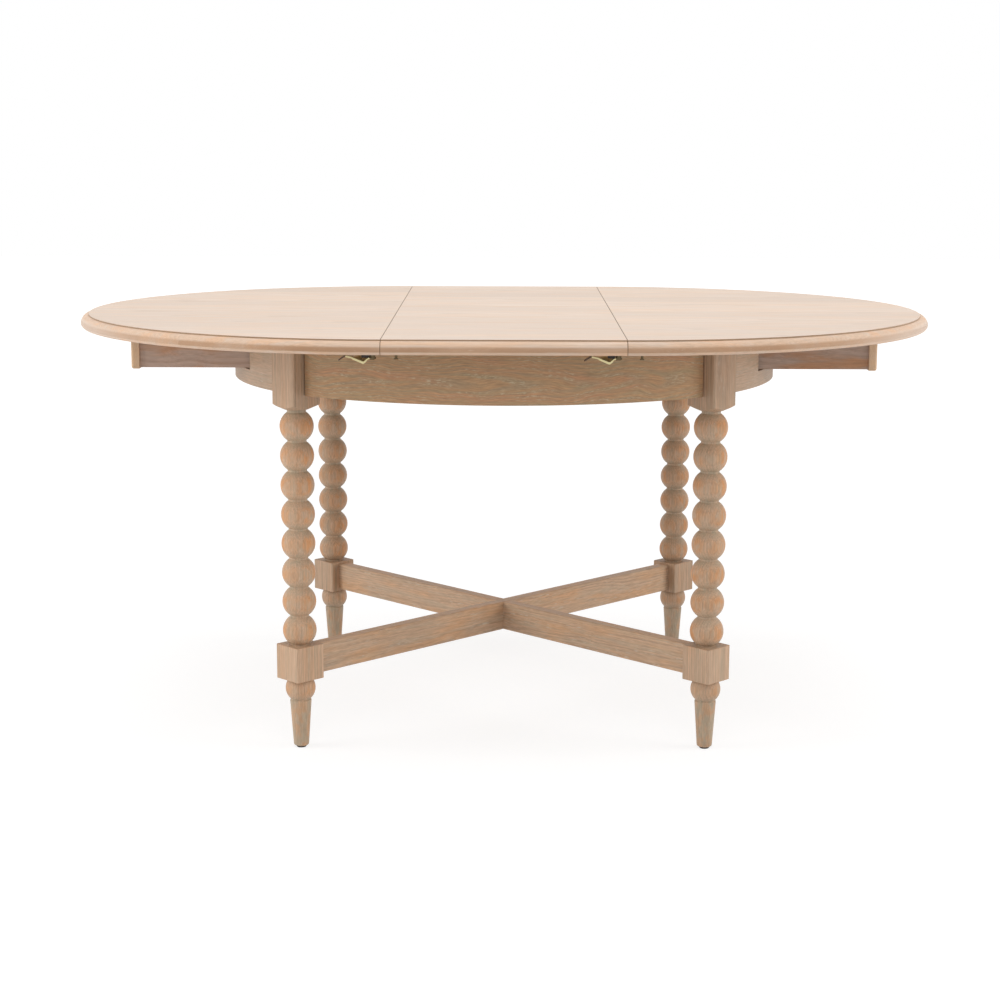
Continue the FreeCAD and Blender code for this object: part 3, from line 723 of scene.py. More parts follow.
# Sawn near the heart and hardly limed: wide flowing rings in mauve and orange browns.
RUNNER_OAK = LimedOak(
    "limed_oak_runner", late_wood="#BBA292", early_wood="#957868", warm="#BA8458",
    lime="#C8BBAE", washed="#B09C8E", figure=0.5, warmth=0.8, wash=0.5, limed=0.35,
    ring=10.0, sway=50.0, waver=44.0, streak=0.5, dash=0.4)
# Planed smooth and oiled: light and plain.
BOARD_OAK = LimedOak(
    "oak_end_board", late_wood="#D4B596", early_wood="#BF9F80", warm="#D9B083",
    lime="#E0D3C0", washed="#CBB8A0", figure=0.5, warmth=0.3, wash=0.3, limed=0.3)
# Birch for the parts inside, sanded and left bare: even, yellowish and dry.
INNER_BIRCH = LimedOak(
    "sanded_birch_inner", late_wood="#C9AD88", early_wood="#B89872", warm="#CBA67A",
    lime="#D8C4A4", washed="#C4AE8E", figure=0.3, warmth=0.3, wash=0.2, limed=0.15,
    roughness=0.6)
# Pressed steel in bright brass plate under a scattering lacquer: pale yellow, half metallic.
BRASS = PlatedMetal("brass_plated_steel", "#DDD2A2", roughness=0.5, metallic=0.55)
# The same plate drawn brown: painted shade for the plates, catches, pins and lever hubs under the
# top.
SHADE_DARK_BRASS = PlatedMetal("shade_darkened_brass_plated_steel", "#6E6048", roughness=0.5)
# Drawn steel wire in bright zinc: cold and silvery.
ZINC = PlatedMetal("zinc_plated_steel", "#C9CCCE", roughness=0.36)
# Moulded nylon that slides on the floor: near black and a little worn.
GLIDE_NYLON = MouldedNylon("moulded_nylon_glide", "#2E231B")
# Painted shadow: a near-black block that fills the gap between a lever and its plate under the
# top.
SHADOW_BLOCK_NYLON = MouldedNylon("near_black_painted_shadow", "#2A2018")
# The finger tab, drawn dark brown with a low sheen: painted shade for the dark it shows under the
# top.
SHADE_DARK_TAB = MouldedNylon("shade_darkened_finger_tab", "#5C4431", roughness=0.42, grit=0.9)


def paint(node: bpy.types.Object, *materials: bpy.types.Material) -> None:
    """Put materials into an object's slots in place of what is there."""
    node.data.materials.clear()
    for material in materials:
        node.data.materials.append(material)


def smooth(obj: bpy.types.Object, angle: float = 35.0) -> None:
    """Shade an object smooth, with edges over the angle in degrees kept sharp."""
    mesh = obj.data
    for polygon in mesh.polygons:
        polygon.use_smooth = True
    mesh.set_sharp_from_angle(angle=math.radians(angle))


def new_piece(name: str, build: bmesh.types.BMesh, body: str,
              materials: Sequence[bpy.types.Material],
              replaced: Iterable[str] = ()) -> bpy.types.Object:
    """Turn a mesh that is being built into a piece of the table.

    Args:
        name: The piece's name.
        build: The mesh, which is freed here.
        body: The body that it rides on.
        materials: Its finishes, in the order of its faces' numbers.
        replaced: Nodes that it stands for.

    Returns:
        The new object.
    """
    mesh = bpy.data.meshes.new(name)
    build.to_mesh(mesh)
    build.free()
    piece = bpy.data.objects.new(name, mesh)
    bpy.context.scene.collection.objects.link(piece)
    for material in materials:
        mesh.materials.append(material)
    smooth(piece)
    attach(piece, body)
    replaced = list(replaced)
    if replaced:
        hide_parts(*replaced)
    log.info("piece %s on %s", name, body)
    return piece


def join_rows(build: bmesh.types.BMesh, first: Row, second: Row,
              finishes: Sequence[Enum] = (), closed: bool = False) -> None:
    """Join two rows of points with one strip of faces.

    Args:
        build: The mesh that is being built.
        first: One row.
        second: The other row, of the same length.
        finishes: The finish of each stretch of the strip, or nothing for a plain one.
        closed: Whether the rows are rings, whose last points join their first.
    """
    for index in range(len(first) if closed else len(first) - 1):
        after = (index + 1) % len(first)
        face = build.faces.new((first[index], first[after], second[after], second[index]))
        if finishes:
            face.material_index = finishes[index].value


def arc(centre: float, radii: Point, degrees: Iterable[float]) -> list[Point]:
    """Draw points on an arc round a centre on the X axis.

    Args:
        centre: The centre's place along X.
        radii: The arc's radii along X and along Y.
        degrees: The points' angles from +X.

    Returns:
        The points in turn.
    """
    return [(centre + radii[0] * math.cos(math.radians(angle)),
             radii[1] * math.sin(math.radians(angle))) for angle in degrees]


class TopFace(Enum):
    """The faces of a top board, by the place of their finish among its materials."""

    FIELD = 0
    RIM = 1
    QUIRK = 2
    JOINT = 3
    UNDER = 4


@dataclass
class TopBoards:
    """The two half tops and the leaf, each glued up from boards that run along X.

    The edge is one moulding: a small step down from the field, a wide round above and a smaller
    one below. Each seam's edges are eased, so that a joint shows as a fine dark line.
    """

    radius: float = 0.600
    height: float = 0.762
    step: float = 0.0025
    upper_round: float = 0.015
    lower_round: float = 0.0075
    seam: float = 0.203
    leaf_half: float = 0.2026
    ease: float = 0.0005
    round_steps: int = 14
    turn_steps: int = 180
    board_width: float = 112.0
    heart: Point = (0.0, 690.0)
    seed: float = 0.37
    slants: tuple[float, ...] = (0.02, 0.016, 0.024)

    def section(self) -> list[tuple[float, float, TopFace]]:
        """Draw the moulding from the field's edge round to the underside.

        Returns:
            For each point, its distance in from the widest part, its height, and the face that
            the next stretch belongs to.
        """
        widest = self.height - self.step - self.upper_round
        points = [(self.upper_round, self.height, TopFace.QUIRK)]
        for index in range(self.round_steps + 1):
            angle = math.radians(90 - 90 * index / self.round_steps)
            points.append((self.upper_round * (1 - math.cos(angle)),
                           widest + self.upper_round * math.sin(angle), TopFace.RIM))
        for index in range(1, self.round_steps // 2 + 1):
            angle = math.radians(-180 * index / self.round_steps)
            points.append((self.lower_round * (1 - math.cos(angle)),
                           widest + self.lower_round * math.sin(angle), TopFace.RIM))
        return points

    def eased(self) -> list[Point]:
        """Draw the same moulding sunk by the seam's ease all round."""
        points = []
        ledge = self.height - self.step
        widest = ledge - self.upper_round
        for inset, level, _ in self.section():
            if level > ledge:
                points.append((inset + self.ease, level - self.ease))
                continue
            radius = self.upper_round if level >= widest else self.lower_round
            way = Vector((radius - inset, widest - level))
            way = way.normalized() * self.ease if way.length else way
            points.append((inset + way.x, level + way.y))
        return points

    def seam_end(self, build: bmesh.types.BMesh, front: Row, back: Row, plane: float) -> None:
        """Close a board at a seam with its eased edge and its flat joint.

        Args:
            build: The mesh that is being built.
            front: The moulding's points at the front end of the seam, from the field down.
            back: The same at the back end.
            plane: The joint's place along X.
        """
        inner_front, inner_back = (
            [build.verts.new((plane, side * (self.radius - inset), level))
             for inset, level in self.eased()] for side in WAYS)
        joint = [TopFace.JOINT] * (len(front) - 1)
        join_rows(build, front, inner_front, joint)
        join_rows(build, back, inner_back, joint)
        for end in (0, -1):
            corners = (front[end], inner_front[end], inner_back[end], back[end])
            build.faces.new(corners).material_index = TopFace.JOINT.value
        cap = build.faces.new(inner_front + list(reversed(inner_back)))
        cap.material_index = TopFace.JOINT.value

    def half(self, side: int) -> bmesh.types.BMesh:
        """Build the half on one side.

        Args:
            side: Which side, minus one for the left or one for the right.

        Returns:
            The closed mesh.
        """
        build = bmesh.new()
        section = self.section()
        lead = math.asin(self.ease / self.radius)
        rows = []
        for index in range(self.turn_steps + 1):
            turn = -math.pi / 2 + lead + (math.pi - 2 * lead) * index / self.turn_steps
            row = []
            for inset, level, _ in section:
                reach = self.radius - inset
                row.append(build.verts.new((side * (self.seam + reach * math.cos(turn)),
                                            reach * math.sin(turn), level)))
            rows.append(row)
        finishes = [finish for _, _, finish in section[:-1]]
        for first, second in zip(rows, rows[1:]):
            join_rows(build, first, second, finishes)
        build.faces.new([row[0] for row in rows]).material_index = TopFace.FIELD.value
        build.faces.new([row[-1] for row in rows]).material_index = TopFace.UNDER.value
        self.seam_end(build, rows[0], rows[-1], side * self.seam)
        bmesh.ops.recalc_face_normals(build, faces=build.faces)
        return build

    def leaf(self) -> bmesh.types.BMesh:
        """Build the leaf, with the moulding along its front and back and a joint at each side."""
        build = bmesh.new()
        section = self.section()
        fronts, backs = [], []
        for x in (-self.leaf_half + self.ease, self.leaf_half - self.ease):
            for rows, side in ((fronts, -1), (backs, 1)):
                rows.append([build.verts.new((x, side * (self.radius - inset), level))
                             for inset, level, _ in section])
        finishes = [finish for _, _, finish in section[:-1]]
        join_rows(build, *fronts, finishes)
        join_rows(build, *backs, finishes)
        for place, finish in ((0, TopFace.FIELD), (-1, TopFace.UNDER)):
            corners = (fronts[0][place], fronts[1][place], backs[1][place], backs[0][place])
            build.faces.new(corners).material_index = finish.value
        for front, back, side in zip(fronts, backs, WAYS):
            self.seam_end(build, front, back, side * self.leaf_half)
        bmesh.ops.recalc_face_normals(build, faces=build.faces)
        return build

    def build(self) -> None:
        """Build the three boards and give each its own figure."""
        boards = (("top_left", self.half(-1), "half_left"), ("leaf", self.leaf(), "leaf"),
                  ("top_right", self.half(1), "half_right"))
        # The quirk's finish is darker for stain, and as painted shade of the step.
        finishes = (TOP_OAK, RIM_OAK, QUIRK_STAIN_AND_SHADE_OAK, JOINT_OAK, UNDER_OAK)
        for number, ((node, build, body), slant) in enumerate(zip(boards, self.slants)):
            sawing = Sawing(FibreRun.ALONG_X, pith=self.heart, slant=slant,
                            seed=number + self.seed, board=self.board_width)
            materials = [finish.material(node, sawing) for finish in finishes]
            new_piece(f"board_{node}", build, body, materials, [node])


@dataclass
class TurnedLegs:
    """Four bead-turned legs on nylon glides."""

    heart: Point = (14.0, 68.0)
    slant: float = 0.008
    seed: float = 3.1
    turned: tuple[Point, ...] = ((-5.0, 129.0), (191.5, 617.0))
    tones: tuple[float, ...] = (0.82, 0.87, 1.0, 0.91)
    # Painted shade: how light the square heads under the top are drawn.
    painted_head_shade: float = 0.88

    def dress(self, nodes: dict[str, bpy.types.Object]) -> None:
        """Give each leg the figure of its own stick of oak."""
        for number, corner in enumerate(CORNERS):
            lowest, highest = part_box(f"leg_{corner}")
            middle = (lowest + highest) / 2
            heart = self.heart if number % 2 else (-self.heart[0], -self.heart[1])
            sawing = Sawing(FibreRun.UPRIGHT, centre=(middle.x, middle.y, 0.0), pith=heart,
                            slant=self.slant, seed=number + self.seed, turned=self.turned,
                            tone=self.tones[number], head=(self.turned[-1][1], self.painted_head_shade))
            paint(nodes[f"leg_{corner}"], LEG_OAK.material(corner, sawing))
            log.info("dressed leg_%s", corner)
        paint(nodes["foot_glides"], GLIDE_NYLON.material())


@dataclass
class CurvedAprons:
    """The four bent aprons with the blocks and bolts that hold the legs to them."""

    bend_radius: float = 0.555
    facings: tuple[tuple[str, float], ...] = (
        ("right", 0.0), ("back", 90.0), ("left", 180.0), ("front", 270.0))
    heart: Point = (6.0, -24.0)
    slant: float = 0.04
    seed_step: float = 0.1
    tone: float = 0.94
    blocks_seed: float = 20.0

    def dress(self, nodes: dict[str, bpy.types.Object]) -> None:
        """Let each apron's grain follow its bend, and dress what is behind it."""
        for number, (name, facing) in enumerate(self.facings):
            lowest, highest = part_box(f"apron_{name}")
            outward = Vector((math.cos(math.radians(facing)), math.sin(math.radians(facing)), 0))
            reach = max(outward.dot(lowest), outward.dot(highest))
            centre = outward * (reach - self.bend_radius)
            centre.z = (lowest.z + highest.z) / 2
            sawing = Sawing(FibreRun.ALONG_X, centre=tuple(centre), pith=self.heart,
                            slant=self.slant, seed=self.seed_step * number,
                            bend=self.bend_radius, facing=facing, tone=self.tone)
            finish = APRON_OAK if name in DEPTHS else SIDE_OAK
            paint(nodes[f"apron_{name}"], finish.material(name, sawing))
            log.info("dressed apron_%s", name)
        for number, corner in enumerate(CORNERS):
            run = FibreRun.DIAGONAL if number % 2 else FibreRun.COUNTER_DIAGONAL
            sawing = Sawing(run, seed=number + self.blocks_seed)
            paint(nodes[f"corner_block_{corner}"], INNER_BIRCH.material(f"block_{corner}", sawing))


@dataclass
class CrossRails:
    """The two halved rails between the leg blocks."""

    runs: tuple[tuple[str, FibreRun], ...] = (
        ("cross_rail_upper", FibreRun.DIAGONAL), ("cross_rail_lower", FibreRun.COUNTER_DIAGONAL))
    level: float = 0.1605
    heart: Point = (64.0, 12.0)
    seed: float = 11.3

    def dress(self, nodes: dict[str, bpy.types.Object]) -> None:
        """Give each rail its own figure along its diagonal."""
        for number, (name, run) in enumerate(self.runs):
            sawing = Sawing(run, centre=(0.0, 0.0, self.level), pith=self.heart,
                            seed=number + self.seed)
            paint(nodes[name], RAIL_OAK.material(name, sawing))
            log.info("dressed %s", name)


@dataclass
class Slides:
    """The fixed guides and bearers, and the runners and end boards that each half carries."""

    level: float = 0.70
    guide_heart: Point = (40.0, -60.0)
    guide_seed: float = 31.0
    cross_seed: float = 41.0
    board_heart: Point = (30.0, 40.0)
    board_seed: float = 51.0
    runner_heart: Point = (-60.0, 34.0)
    runner_slant: float = 0.05
    runner_seed: float = 61.0
    runner_tones: tuple[float, ...] = (1.05, 0.88)

    def dress(self, nodes: dict[str, bpy.types.Object]) -> None:
        """Dress what is fixed and what slides."""
        middle = (0.0, 0.0, self.level)
        for number, depth in enumerate(DEPTHS):
            sawing = Sawing(FibreRun.ALONG_X, seed=number + self.guide_seed, pith=self.guide_heart)
            paint(nodes[f"guide_rail_{depth}"], INNER_BIRCH.material(f"guide_{depth}", sawing))
        for number, side in enumerate(SIDES):
            cross = Sawing(FibreRun.ALONG_Y, seed=number + self.cross_seed)
            for node, label in (("bearer", "bearer"), ("runner_stops", "stops"),
                                ("board_dowels", "dowels")):
                paint(nodes[f"{node}_{side}"], INNER_BIRCH.material(f"{label}_{side}", cross))
            board = Sawing(FibreRun.ALONG_Y, centre=middle, pith=self.board_heart,
                           seed=number + self.board_seed)
            paint(nodes[f"end_board_{side}"], BOARD_OAK.material(f"end_{side}", board))
            for place, depth in enumerate(DEPTHS):
                run = Sawing(FibreRun.ALONG_X, centre=middle, pith=self.runner_heart,
                             slant=self.runner_slant, seed=2 * number + place + self.runner_seed,
                             tone=self.runner_tones[number])
                paint(nodes[f"runner_{side}_{depth}"], RUNNER_OAK.material(f"{side}_{depth}", run))
            log.info("dressed the %s slides", side)


class LeverPart(Enum):
    """The parts of a lock's lever, by the place of their finish among its materials."""

    ARM = 0
    TAB = 1
    HUB = 2


@dataclass
class SwivelLocks:
    """Four swivel hooks under the seams, with their plates, pins, studs and screws.

    Each lever is one strip, pressed down near its hub so that a finger reaches it, up again to
    its hook, and down to a finger tab, drawn dark brown as painted shade. It is widest behind the
    dip. At rest it lies swung back from the seam, with its hook's mouth towards the table's
    middle.
    The levers' own sizes are in millimetres from the hub.
    """

    pivots: Point = (-0.217, 0.189)
    line: float = 0.570
    underside: float = 0.737
    path: tuple[Point, ...] = ((-6.0, -6.0), (6.5, -6.0), (14.5, -13.0), (34.0, -4.9),
                               (45.5, -2.5), (56.5, -9.6))
    corner_round: float = 1.6
    corner_samples: int = 9
    dish: float = 0.45
    dish_ends: Point = (7.0, 31.0)
    lip: float = 1.2
    lip_ends: Point = (9.0, 33.0)
    lip_aside: float = -2.0
    # Sizes of the near-black block that is painted shadow under each lever.
    shadow_block: tuple[float, float, float, float] = (6.6, 17.0, -1.6, -5.5)
    shadow_block_half: float = 6.0
    shadow_block_taper: float = 0.8
    shadow_block_round: float = 0.8
    hub_end: float = 4.5
    hub_radius: float = 6.0
    trailing: tuple[float, ...] = (12.0, 30.0, 42.0)
    leading: tuple[Point, ...] = ((4.0, 6.0), (10.0, 11.5), (15.0, 14.0), (20.0, 14.0),
                                  (25.0, 11.5), (31.0, 7.5))
    half_width: float = 6.0
    hole_radius: float = 2.6
    hook_radius: float = 39.0
    hook_end: float = 43.0
    mouth_half: float = 2.6
    tab_start: float = 44.5
    tab_full: float = 47.0
    tab_half: float = 4.6
    tab_round: float = 3.0
    thickness: float = 2.5
    ease: float = 0.35
    ease_angle: float = 50.0

    def outline(self) -> list[Point]:
        """Draw the lever from above, from its hub at the origin out to its tab along X.

        Returns:
            The corners in turn, in millimetres, with the mouth on the side towards +Y.
        """
        half, tab = self.half_width, self.tab_half
        tip = self.path[-1][0] - self.tab_round
        outer, inner = self.hook_radius + self.mouth_half, self.hook_radius - self.mouth_half
        top, low = (math.degrees(math.asin(half / reach)) for reach in (outer, inner))
        shares = [step / 6 for step in range(7)]
        return [
            *arc(0.0, (self.hub_radius, self.hub_radius), range(90, 271, 15)),
            *((x, -half) for x in self.trailing),
            (self.tab_full, -tab), (tip, -tab),
            *arc(tip, (self.tab_round, tab), range(-75, 76, 15)),
            (tip, tab), (self.tab_full, tab), (self.hook_end, half),
            *arc(0.0, (outer, outer), [top * (1 - share) for share in shares]),
            *arc(self.hook_radius, (self.mouth_half, self.mouth_half), range(-15, -166, -15)),
            *arc(0.0, (inner, inner), [low * share for share in shares]),
            *reversed(self.leading)]

    def level(self, place: float) -> float:
        """Read how high the lever's upper face is.

        Args:
            place: The distance from the hub along the lever, in millimetres.

        Returns:
            The level below the table top, in millimetres, with the bends rounded.
        """
        total = 0.0
        for sample in range(self.corner_samples):
            x = place + self.corner_round * (2 * sample / (self.corner_samples - 1) - 1)
            x = min(max(x, self.path[0][0]), self.path[-1][0])
            for (x0, z0), (x1, z1) in zip(self.path, self.path[1:]):
                if x <= x1:
                    total += z0 + (z1 - z0) * (x - x0) / (x1 - x0)
                    break
        return total / self.corner_samples

    def hang(self, build: bmesh.types.BMesh, pivot: float, side: int) -> None:
        """Move a mesh from the lever's own millimetres to its place under the top at rest.

        Args:
            build: The mesh.
            pivot: The pivot's place along X, in metres.
            side: Minus one for the front of the table, one for the back.
        """
        for vertex in build.verts:
            x, y, z = vertex.co
            vertex.co = (pivot - x * MM, side * (self.line - y * MM), self.underside + z * MM)

    def lever(self, pivot: float, side: int) -> bmesh.types.BMesh:
        """Build one lever at rest, as a closed mesh.

        The flat outline is cut across every millimetre, beside the outline's own corners, and
        then pressed to its path.
        """
        build = bmesh.new()
        hole = arc(0.0, (self.hole_radius, self.hole_radius), range(0, 360, 15))
        edges = []
        for points in (self.outline(), hole):
            ring = [build.verts.new((x, y, 0.0)) for x, y in points]
            edges += [build.edges.new(pair) for pair in zip(ring, ring[1:] + ring[:1])]
        bmesh.ops.triangle_fill(build, edges=edges, use_beauty=True)
        for station in range(int(self.path[0][0]), int(self.path[-1][0]) + 1):
            everything = build.verts[:] + build.edges[:] + build.faces[:]
            bmesh.ops.bisect_plane(build, geom=everything, plane_co=(station + 0.37, 0, 0),
                                   plane_no=(1, 0, 0))
        bmesh.ops.recalc_face_normals(build, faces=build.faces)
        grown = bmesh.ops.extrude_face_region(build, geom=build.faces[:])["geom"]
        lower = {item for item in grown if isinstance(item, bmesh.types.BMVert)}
        near, far = self.dish_ends
        for vertex in build.verts:
            x, y, _ = vertex.co
            place = min(max((x - near) / (far - near), 0.0), 1.0)
            raised = self.dish * max(y, 0.0) * math.sin(math.pi * place)
            lipped = self.lip_ends[0] < x < self.lip_ends[1] and y < self.lip_aside
            below = self.thickness + (self.lip if lipped else 0.0)
            vertex.co.z = self.level(x) + raised - (below if vertex in lower else 0.0)
        # The hub's faces take the brown brass: painted shade.
        for face in build.faces:
            place = face.calc_center_median().x
            part = LeverPart.TAB if place > self.tab_start else LeverPart.ARM
            part = LeverPart.HUB if place < self.hub_end else part
            face.material_index = part.value
        self.hang(build, pivot, side)
        bmesh.ops.recalc_face_normals(build, faces=build.faces)
        return build

    def shadow_block_mesh(self, pivot: float, side: int) -> bmesh.types.BMesh:
        """Build the near-black painted shadow between a swung lever and its plate, rounded all
        over.
        """
        near, far, top, bottom = self.shadow_block
        build = bmesh.new()
        bmesh.ops.create_cube(build, size=1.0)
        for vertex in build.verts:
            beyond = vertex.co.x > 0
            half = self.shadow_block_half * (self.shadow_block_taper if beyond else 1.0)
            vertex.co = (far if beyond else near, half if vertex.co.y > 0 else -half,
                         top if vertex.co.z > 0 else bottom)
        self.hang(build, pivot, side)
        bmesh.ops.bevel(build, geom=build.edges[:], offset=self.shadow_block_round * MM, segments=3,
                        profile=0.5, affect="EDGES")
        bmesh.ops.recalc_face_normals(build, faces=build.faces)
        return build

    def build(self, nodes: dict[str, bpy.types.Object]) -> None:
        """Build the levers and the painted shadow blocks under them, and plate the rest of the
        locks.
        """
        # Brown brass as painted shade for the lock parts in the top's shade.
        shade_brass = SHADE_DARK_BRASS.material()
        # The tab's dark brown finish is painted shade.
        finishes = (BRASS.material(), SHADE_DARK_TAB.material(), shade_brass)
        black = SHADOW_BLOCK_NYLON.material()
        for seam, pivot, carrier in zip(SIDES, self.pivots, ("half_left", "leaf")):
            for depth, side in zip(DEPTHS, WAYS):
                end = f"{seam}_{depth}"
                lever = new_piece(f"swivel_lever_{end}", self.lever(pivot, side), f"lever_{end}",
                                  finishes, [f"lock_lever_{end}"])
                soften = lever.modifiers.new("eased_edges", "BEVEL")
                soften.width = self.ease * MM
                soften.segments = 2
                soften.angle_limit = math.radians(self.ease_angle)
                # A near-black block as painted shadow in the gap between the lever and its plate.
                new_piece(f"lock_painted_shadow_{end}", self.shadow_block_mesh(pivot, side), carrier,
                          (black,))
        # Plates, catches and pins take the brown brass: painted shade under the top.
        for name, node in nodes.items():
            if name.startswith(("lock_plate", "lock_catch", "lock_pins")):
                paint(node, shade_brass)
        log.info("dressed the locks")


@dataclass(frozen=True)
class ScrewSize:
    """A countersunk screw with a cross recess.

    Attributes:
        length: Its whole length, in millimetres.
        head: Radius of its flat head.
        shank: Radius over its thread.
        depth: How deep its countersink is.
    """

    length: float
    head: float = 4.2
    shank: float = 2.0
    depth: float = 2.6


@dataclass
class Fasteners:
    """The wood screws, and the hanger bolts with their washers and nuts.

    Each is drawn from its own axis, with its head or its free end at the origin and its length
    along Z, and then laid where the frame's own fastener is. All sizes are in millimetres.
    """

    corner_face: float = 454.95
    corner_aside: float = 46.0
    corner_angle: float = 40.0
    corner_screw: ScrewSize = ScrewSize(62.0)
    bolt_level: float = 702.5
    bolt_ends: Point = (440.85, 519.7)
    bolt_radius: float = 4.0
    bolt_pitch: float = 1.25
    bolt_grip: Point = (26.0, 32.0)
    bolt_wood_pitch: float = 2.8
    washer: Point = (9.0, 1.6)
    washer_chamfer: float = 0.25
    nut: Point = (13.0, 6.5)
    nut_chamfer: tuple[Point, ...] = ((6.3, 0.0), (6.9, 0.3), (9.0, 0.8))
    runner_rows: tuple[float, ...] = (278.0, 440.5, 603.0)
    runner_aside: float = 221.0
    runner_head: float = 694.0
    runner_screw: ScrewSize = ScrewSize(55.0)
    bearer_place: tuple[float, float, float] = (278.3, 193.5, 647.7)
    bearer_screw: ScrewSize = ScrewSize(48.0)
    lock_line: float = 570.0
    lock_head: float = 735.4
    lock_places: tuple[tuple[str, tuple[float, ...]], ...] = (
        ("half_left", (-210.5, -234.5)), ("leaf", (-195.5, -174.5, 195.5, 171.5)),
        ("half_right", (210.5, 231.5)))
    lock_screw: ScrewSize = ScrewSize(12.0, head=2.8, shank=1.3, depth=0.8)

    @cached_property
    def zinc(self) -> bpy.types.Material:
        """Make the plating that all fasteners share."""
        return ZINC.material()

    @staticmethod
    def laid(point: Sequence[float], way: Sequence[float] = (0.0, 0.0, 1.0)) -> Matrix:
        """Lay a fastener's own axis at a point.

        Args:
            point: Where its origin goes, in millimetres.
            way: The way that its Z axis goes.

        Returns:
            The matrix, from millimetres to metres.
        """
        turn = Vector(way).to_track_quat("Z", "Y").to_matrix().to_4x4()
        return Matrix.Scale(MM, 4) @ Matrix.Translation(point) @ turn

    @staticmethod
    def rings(build: bmesh.types.BMesh, place: Matrix, radii: Sequence[Sequence[float]],
              levels: Sequence[float]) -> list[Row]:
        """Join rings of points into a wall.

        Args:
            build: The mesh that is being built.
            place: Where the fastener lies.
            radii: For each ring, the radius at each of its points.
            levels: How far along the axis each ring is.

        Returns:
            The rings of points.
        """
        rows = []
        for reaches, level in zip(radii, levels):
            row = []
            for index, reach in enumerate(reaches):
                turn = 2 * math.pi * index / len(reaches)
                row.append(build.verts.new(place @ Vector((reach * math.cos(turn),
                                                           reach * math.sin(turn), level))))
            rows.append(row)
        for first, second in zip(rows, rows[1:]):
            join_rows(build, first, second, closed=True)
        return rows

    def lathe(self, build: bmesh.types.BMesh, place: Matrix, profile: Sequence[Point],
              steps: int) -> list[Row]:
        """Build a round wall from its profile.

        Args:
            build: The mesh that is being built.
            place: Where the fastener lies.
            profile: The wall's radius and level, point by point.
            steps: The number of points in each ring.

        Returns:
            The rings of points.
        """
        return self.rings(build, place, [[radius] * steps for radius, _ in profile],
                          [level for _, level in profile])

    @staticmethod
    def thread(start: float, end: float, pitch: float, root: float, crest: float) -> list[Point]:
        """Draw a thread's ridges as radius and level, from start to end."""
        points = []
        for index in range(int((end - start) / pitch)):
            level = start + pitch * index
            points += [(root, level + 0.1 * pitch), (crest, level + 0.5 * pitch)]
        return points + [(root, end)]

    def screw(self, build: bmesh.types.BMesh, place: Matrix, size: ScrewSize) -> None:
        """Build one countersunk screw with a cross recess in its head.

        Args:
            build: The mesh that is being built.
            place: Where it lies.
            size: Its sizes.
        """
        tip = size.length - 3 * size.shank
        pitch, root, point = (share * size.shank for share in (1.2, 0.72, 0.12))
        profile = [(size.head, 0.0), (size.head, 0.1 * size.depth), (size.shank, size.depth),
                   *self.thread(size.depth + 0.2, tip, pitch, root, size.shank),
                   (point, size.length)]
        rows = self.lathe(build, place, profile, steps=16)
        build.faces.new(rows[-1])
        arm, half, deep = 0.56 * size.head, 0.14 * size.head, 0.5 * size.depth
        floor_share = 0.7
        corners = [(arm, -half), (arm, half), (half, half), (half, arm), (-half, arm),
                   (-half, half), (-arm, half), (-arm, -half), (-half, -half), (-half, -arm),
                   (half, -arm), (half, -half)]
        mouth, floor = (
            [build.verts.new(place @ Vector((share * x, share * y, level))) for x, y in corners]
            for share, level in ((1.0, 0.0), (floor_share, deep)))
        edges = [build.edges.new(pair) for pair in zip(mouth, mouth[1:] + mouth[:1])]
        edges += [build.edges.get(pair) for pair in zip(rows[0], rows[0][1:] + rows[0][:1])]
        bmesh.ops.triangle_fill(build, edges=edges, use_beauty=True)
        join_rows(build, mouth, floor, closed=True)
        build.faces.new(floor)

    def pipe(self, build: bmesh.types.BMesh, place: Matrix,
             edge: Sequence[tuple[Sequence[float], float]], thick: float, bore: float) -> None:
        """Build a ring-shaped piece with a plain bore, alike from both of its faces.

        Args:
            build: The mesh that is being built.
            place: Where it lies.
            edge: Its outer rings from one face to the middle, each as radii and a level.
            thick: How thick it is.
            bore: The bore's radius.
        """
        radii = [ring for ring, _ in edge]
        levels = [level for _, level in edge]
        radii += radii[::-1]
        levels += [thick - level for level in levels[::-1]]
        inner = [[bore] * len(radii[0])]
        rows = self.rings(build, place, inner + radii + inner,
                          [levels[0], *levels, levels[-1]])
        join_rows(build, rows[0], rows[-1], closed=True)

    def hex_radii(self, cap: float) -> list[float]:
        """Draw the nut's six sides as radii, none over the cap that its chamfer leaves."""
        half = self.nut[0] / 2
        return [min(half / math.cos(math.radians(angle % 60 - 30)), cap)
                for angle in range(0, 360, 15)]

    def bolt(self, build: bmesh.types.BMesh, place: Matrix) -> None:
        """Build one hanger bolt: a metric thread at its free end, and a wood thread in the leg."""
        length = self.bolt_ends[1] - self.bolt_ends[0]
        crest = self.bolt_radius
        near, far = self.bolt_grip
        profile = [(0.82 * crest, 0.0),
                   *self.thread(0.5, near - 2.0, self.bolt_pitch, 0.87 * crest, crest),
                   (0.9 * crest, near), (0.9 * crest, far),
                   *self.thread(far + 0.5, length - 6.0, self.bolt_wood_pitch, 0.7 * crest,
                                crest),
                   (0.2 * crest, length)]
        rows = self.lathe(build, place, profile, steps=24)
        build.faces.new(rows[0])
        build.faces.new(rows[-1])

    def finished(self, name: str, build: bmesh.types.BMesh, body: str, node: str) -> None:
        """Plate a finished mesh with zinc, and let it stand for its node.

        Args:
            name: The piece's name.
            build: The mesh.
            body: The body that it rides on.
            node: The node that it replaces.
        """
        bmesh.ops.recalc_face_normals(build, faces=build.faces)
        new_piece(name, build, body, (self.zinc,), [node])

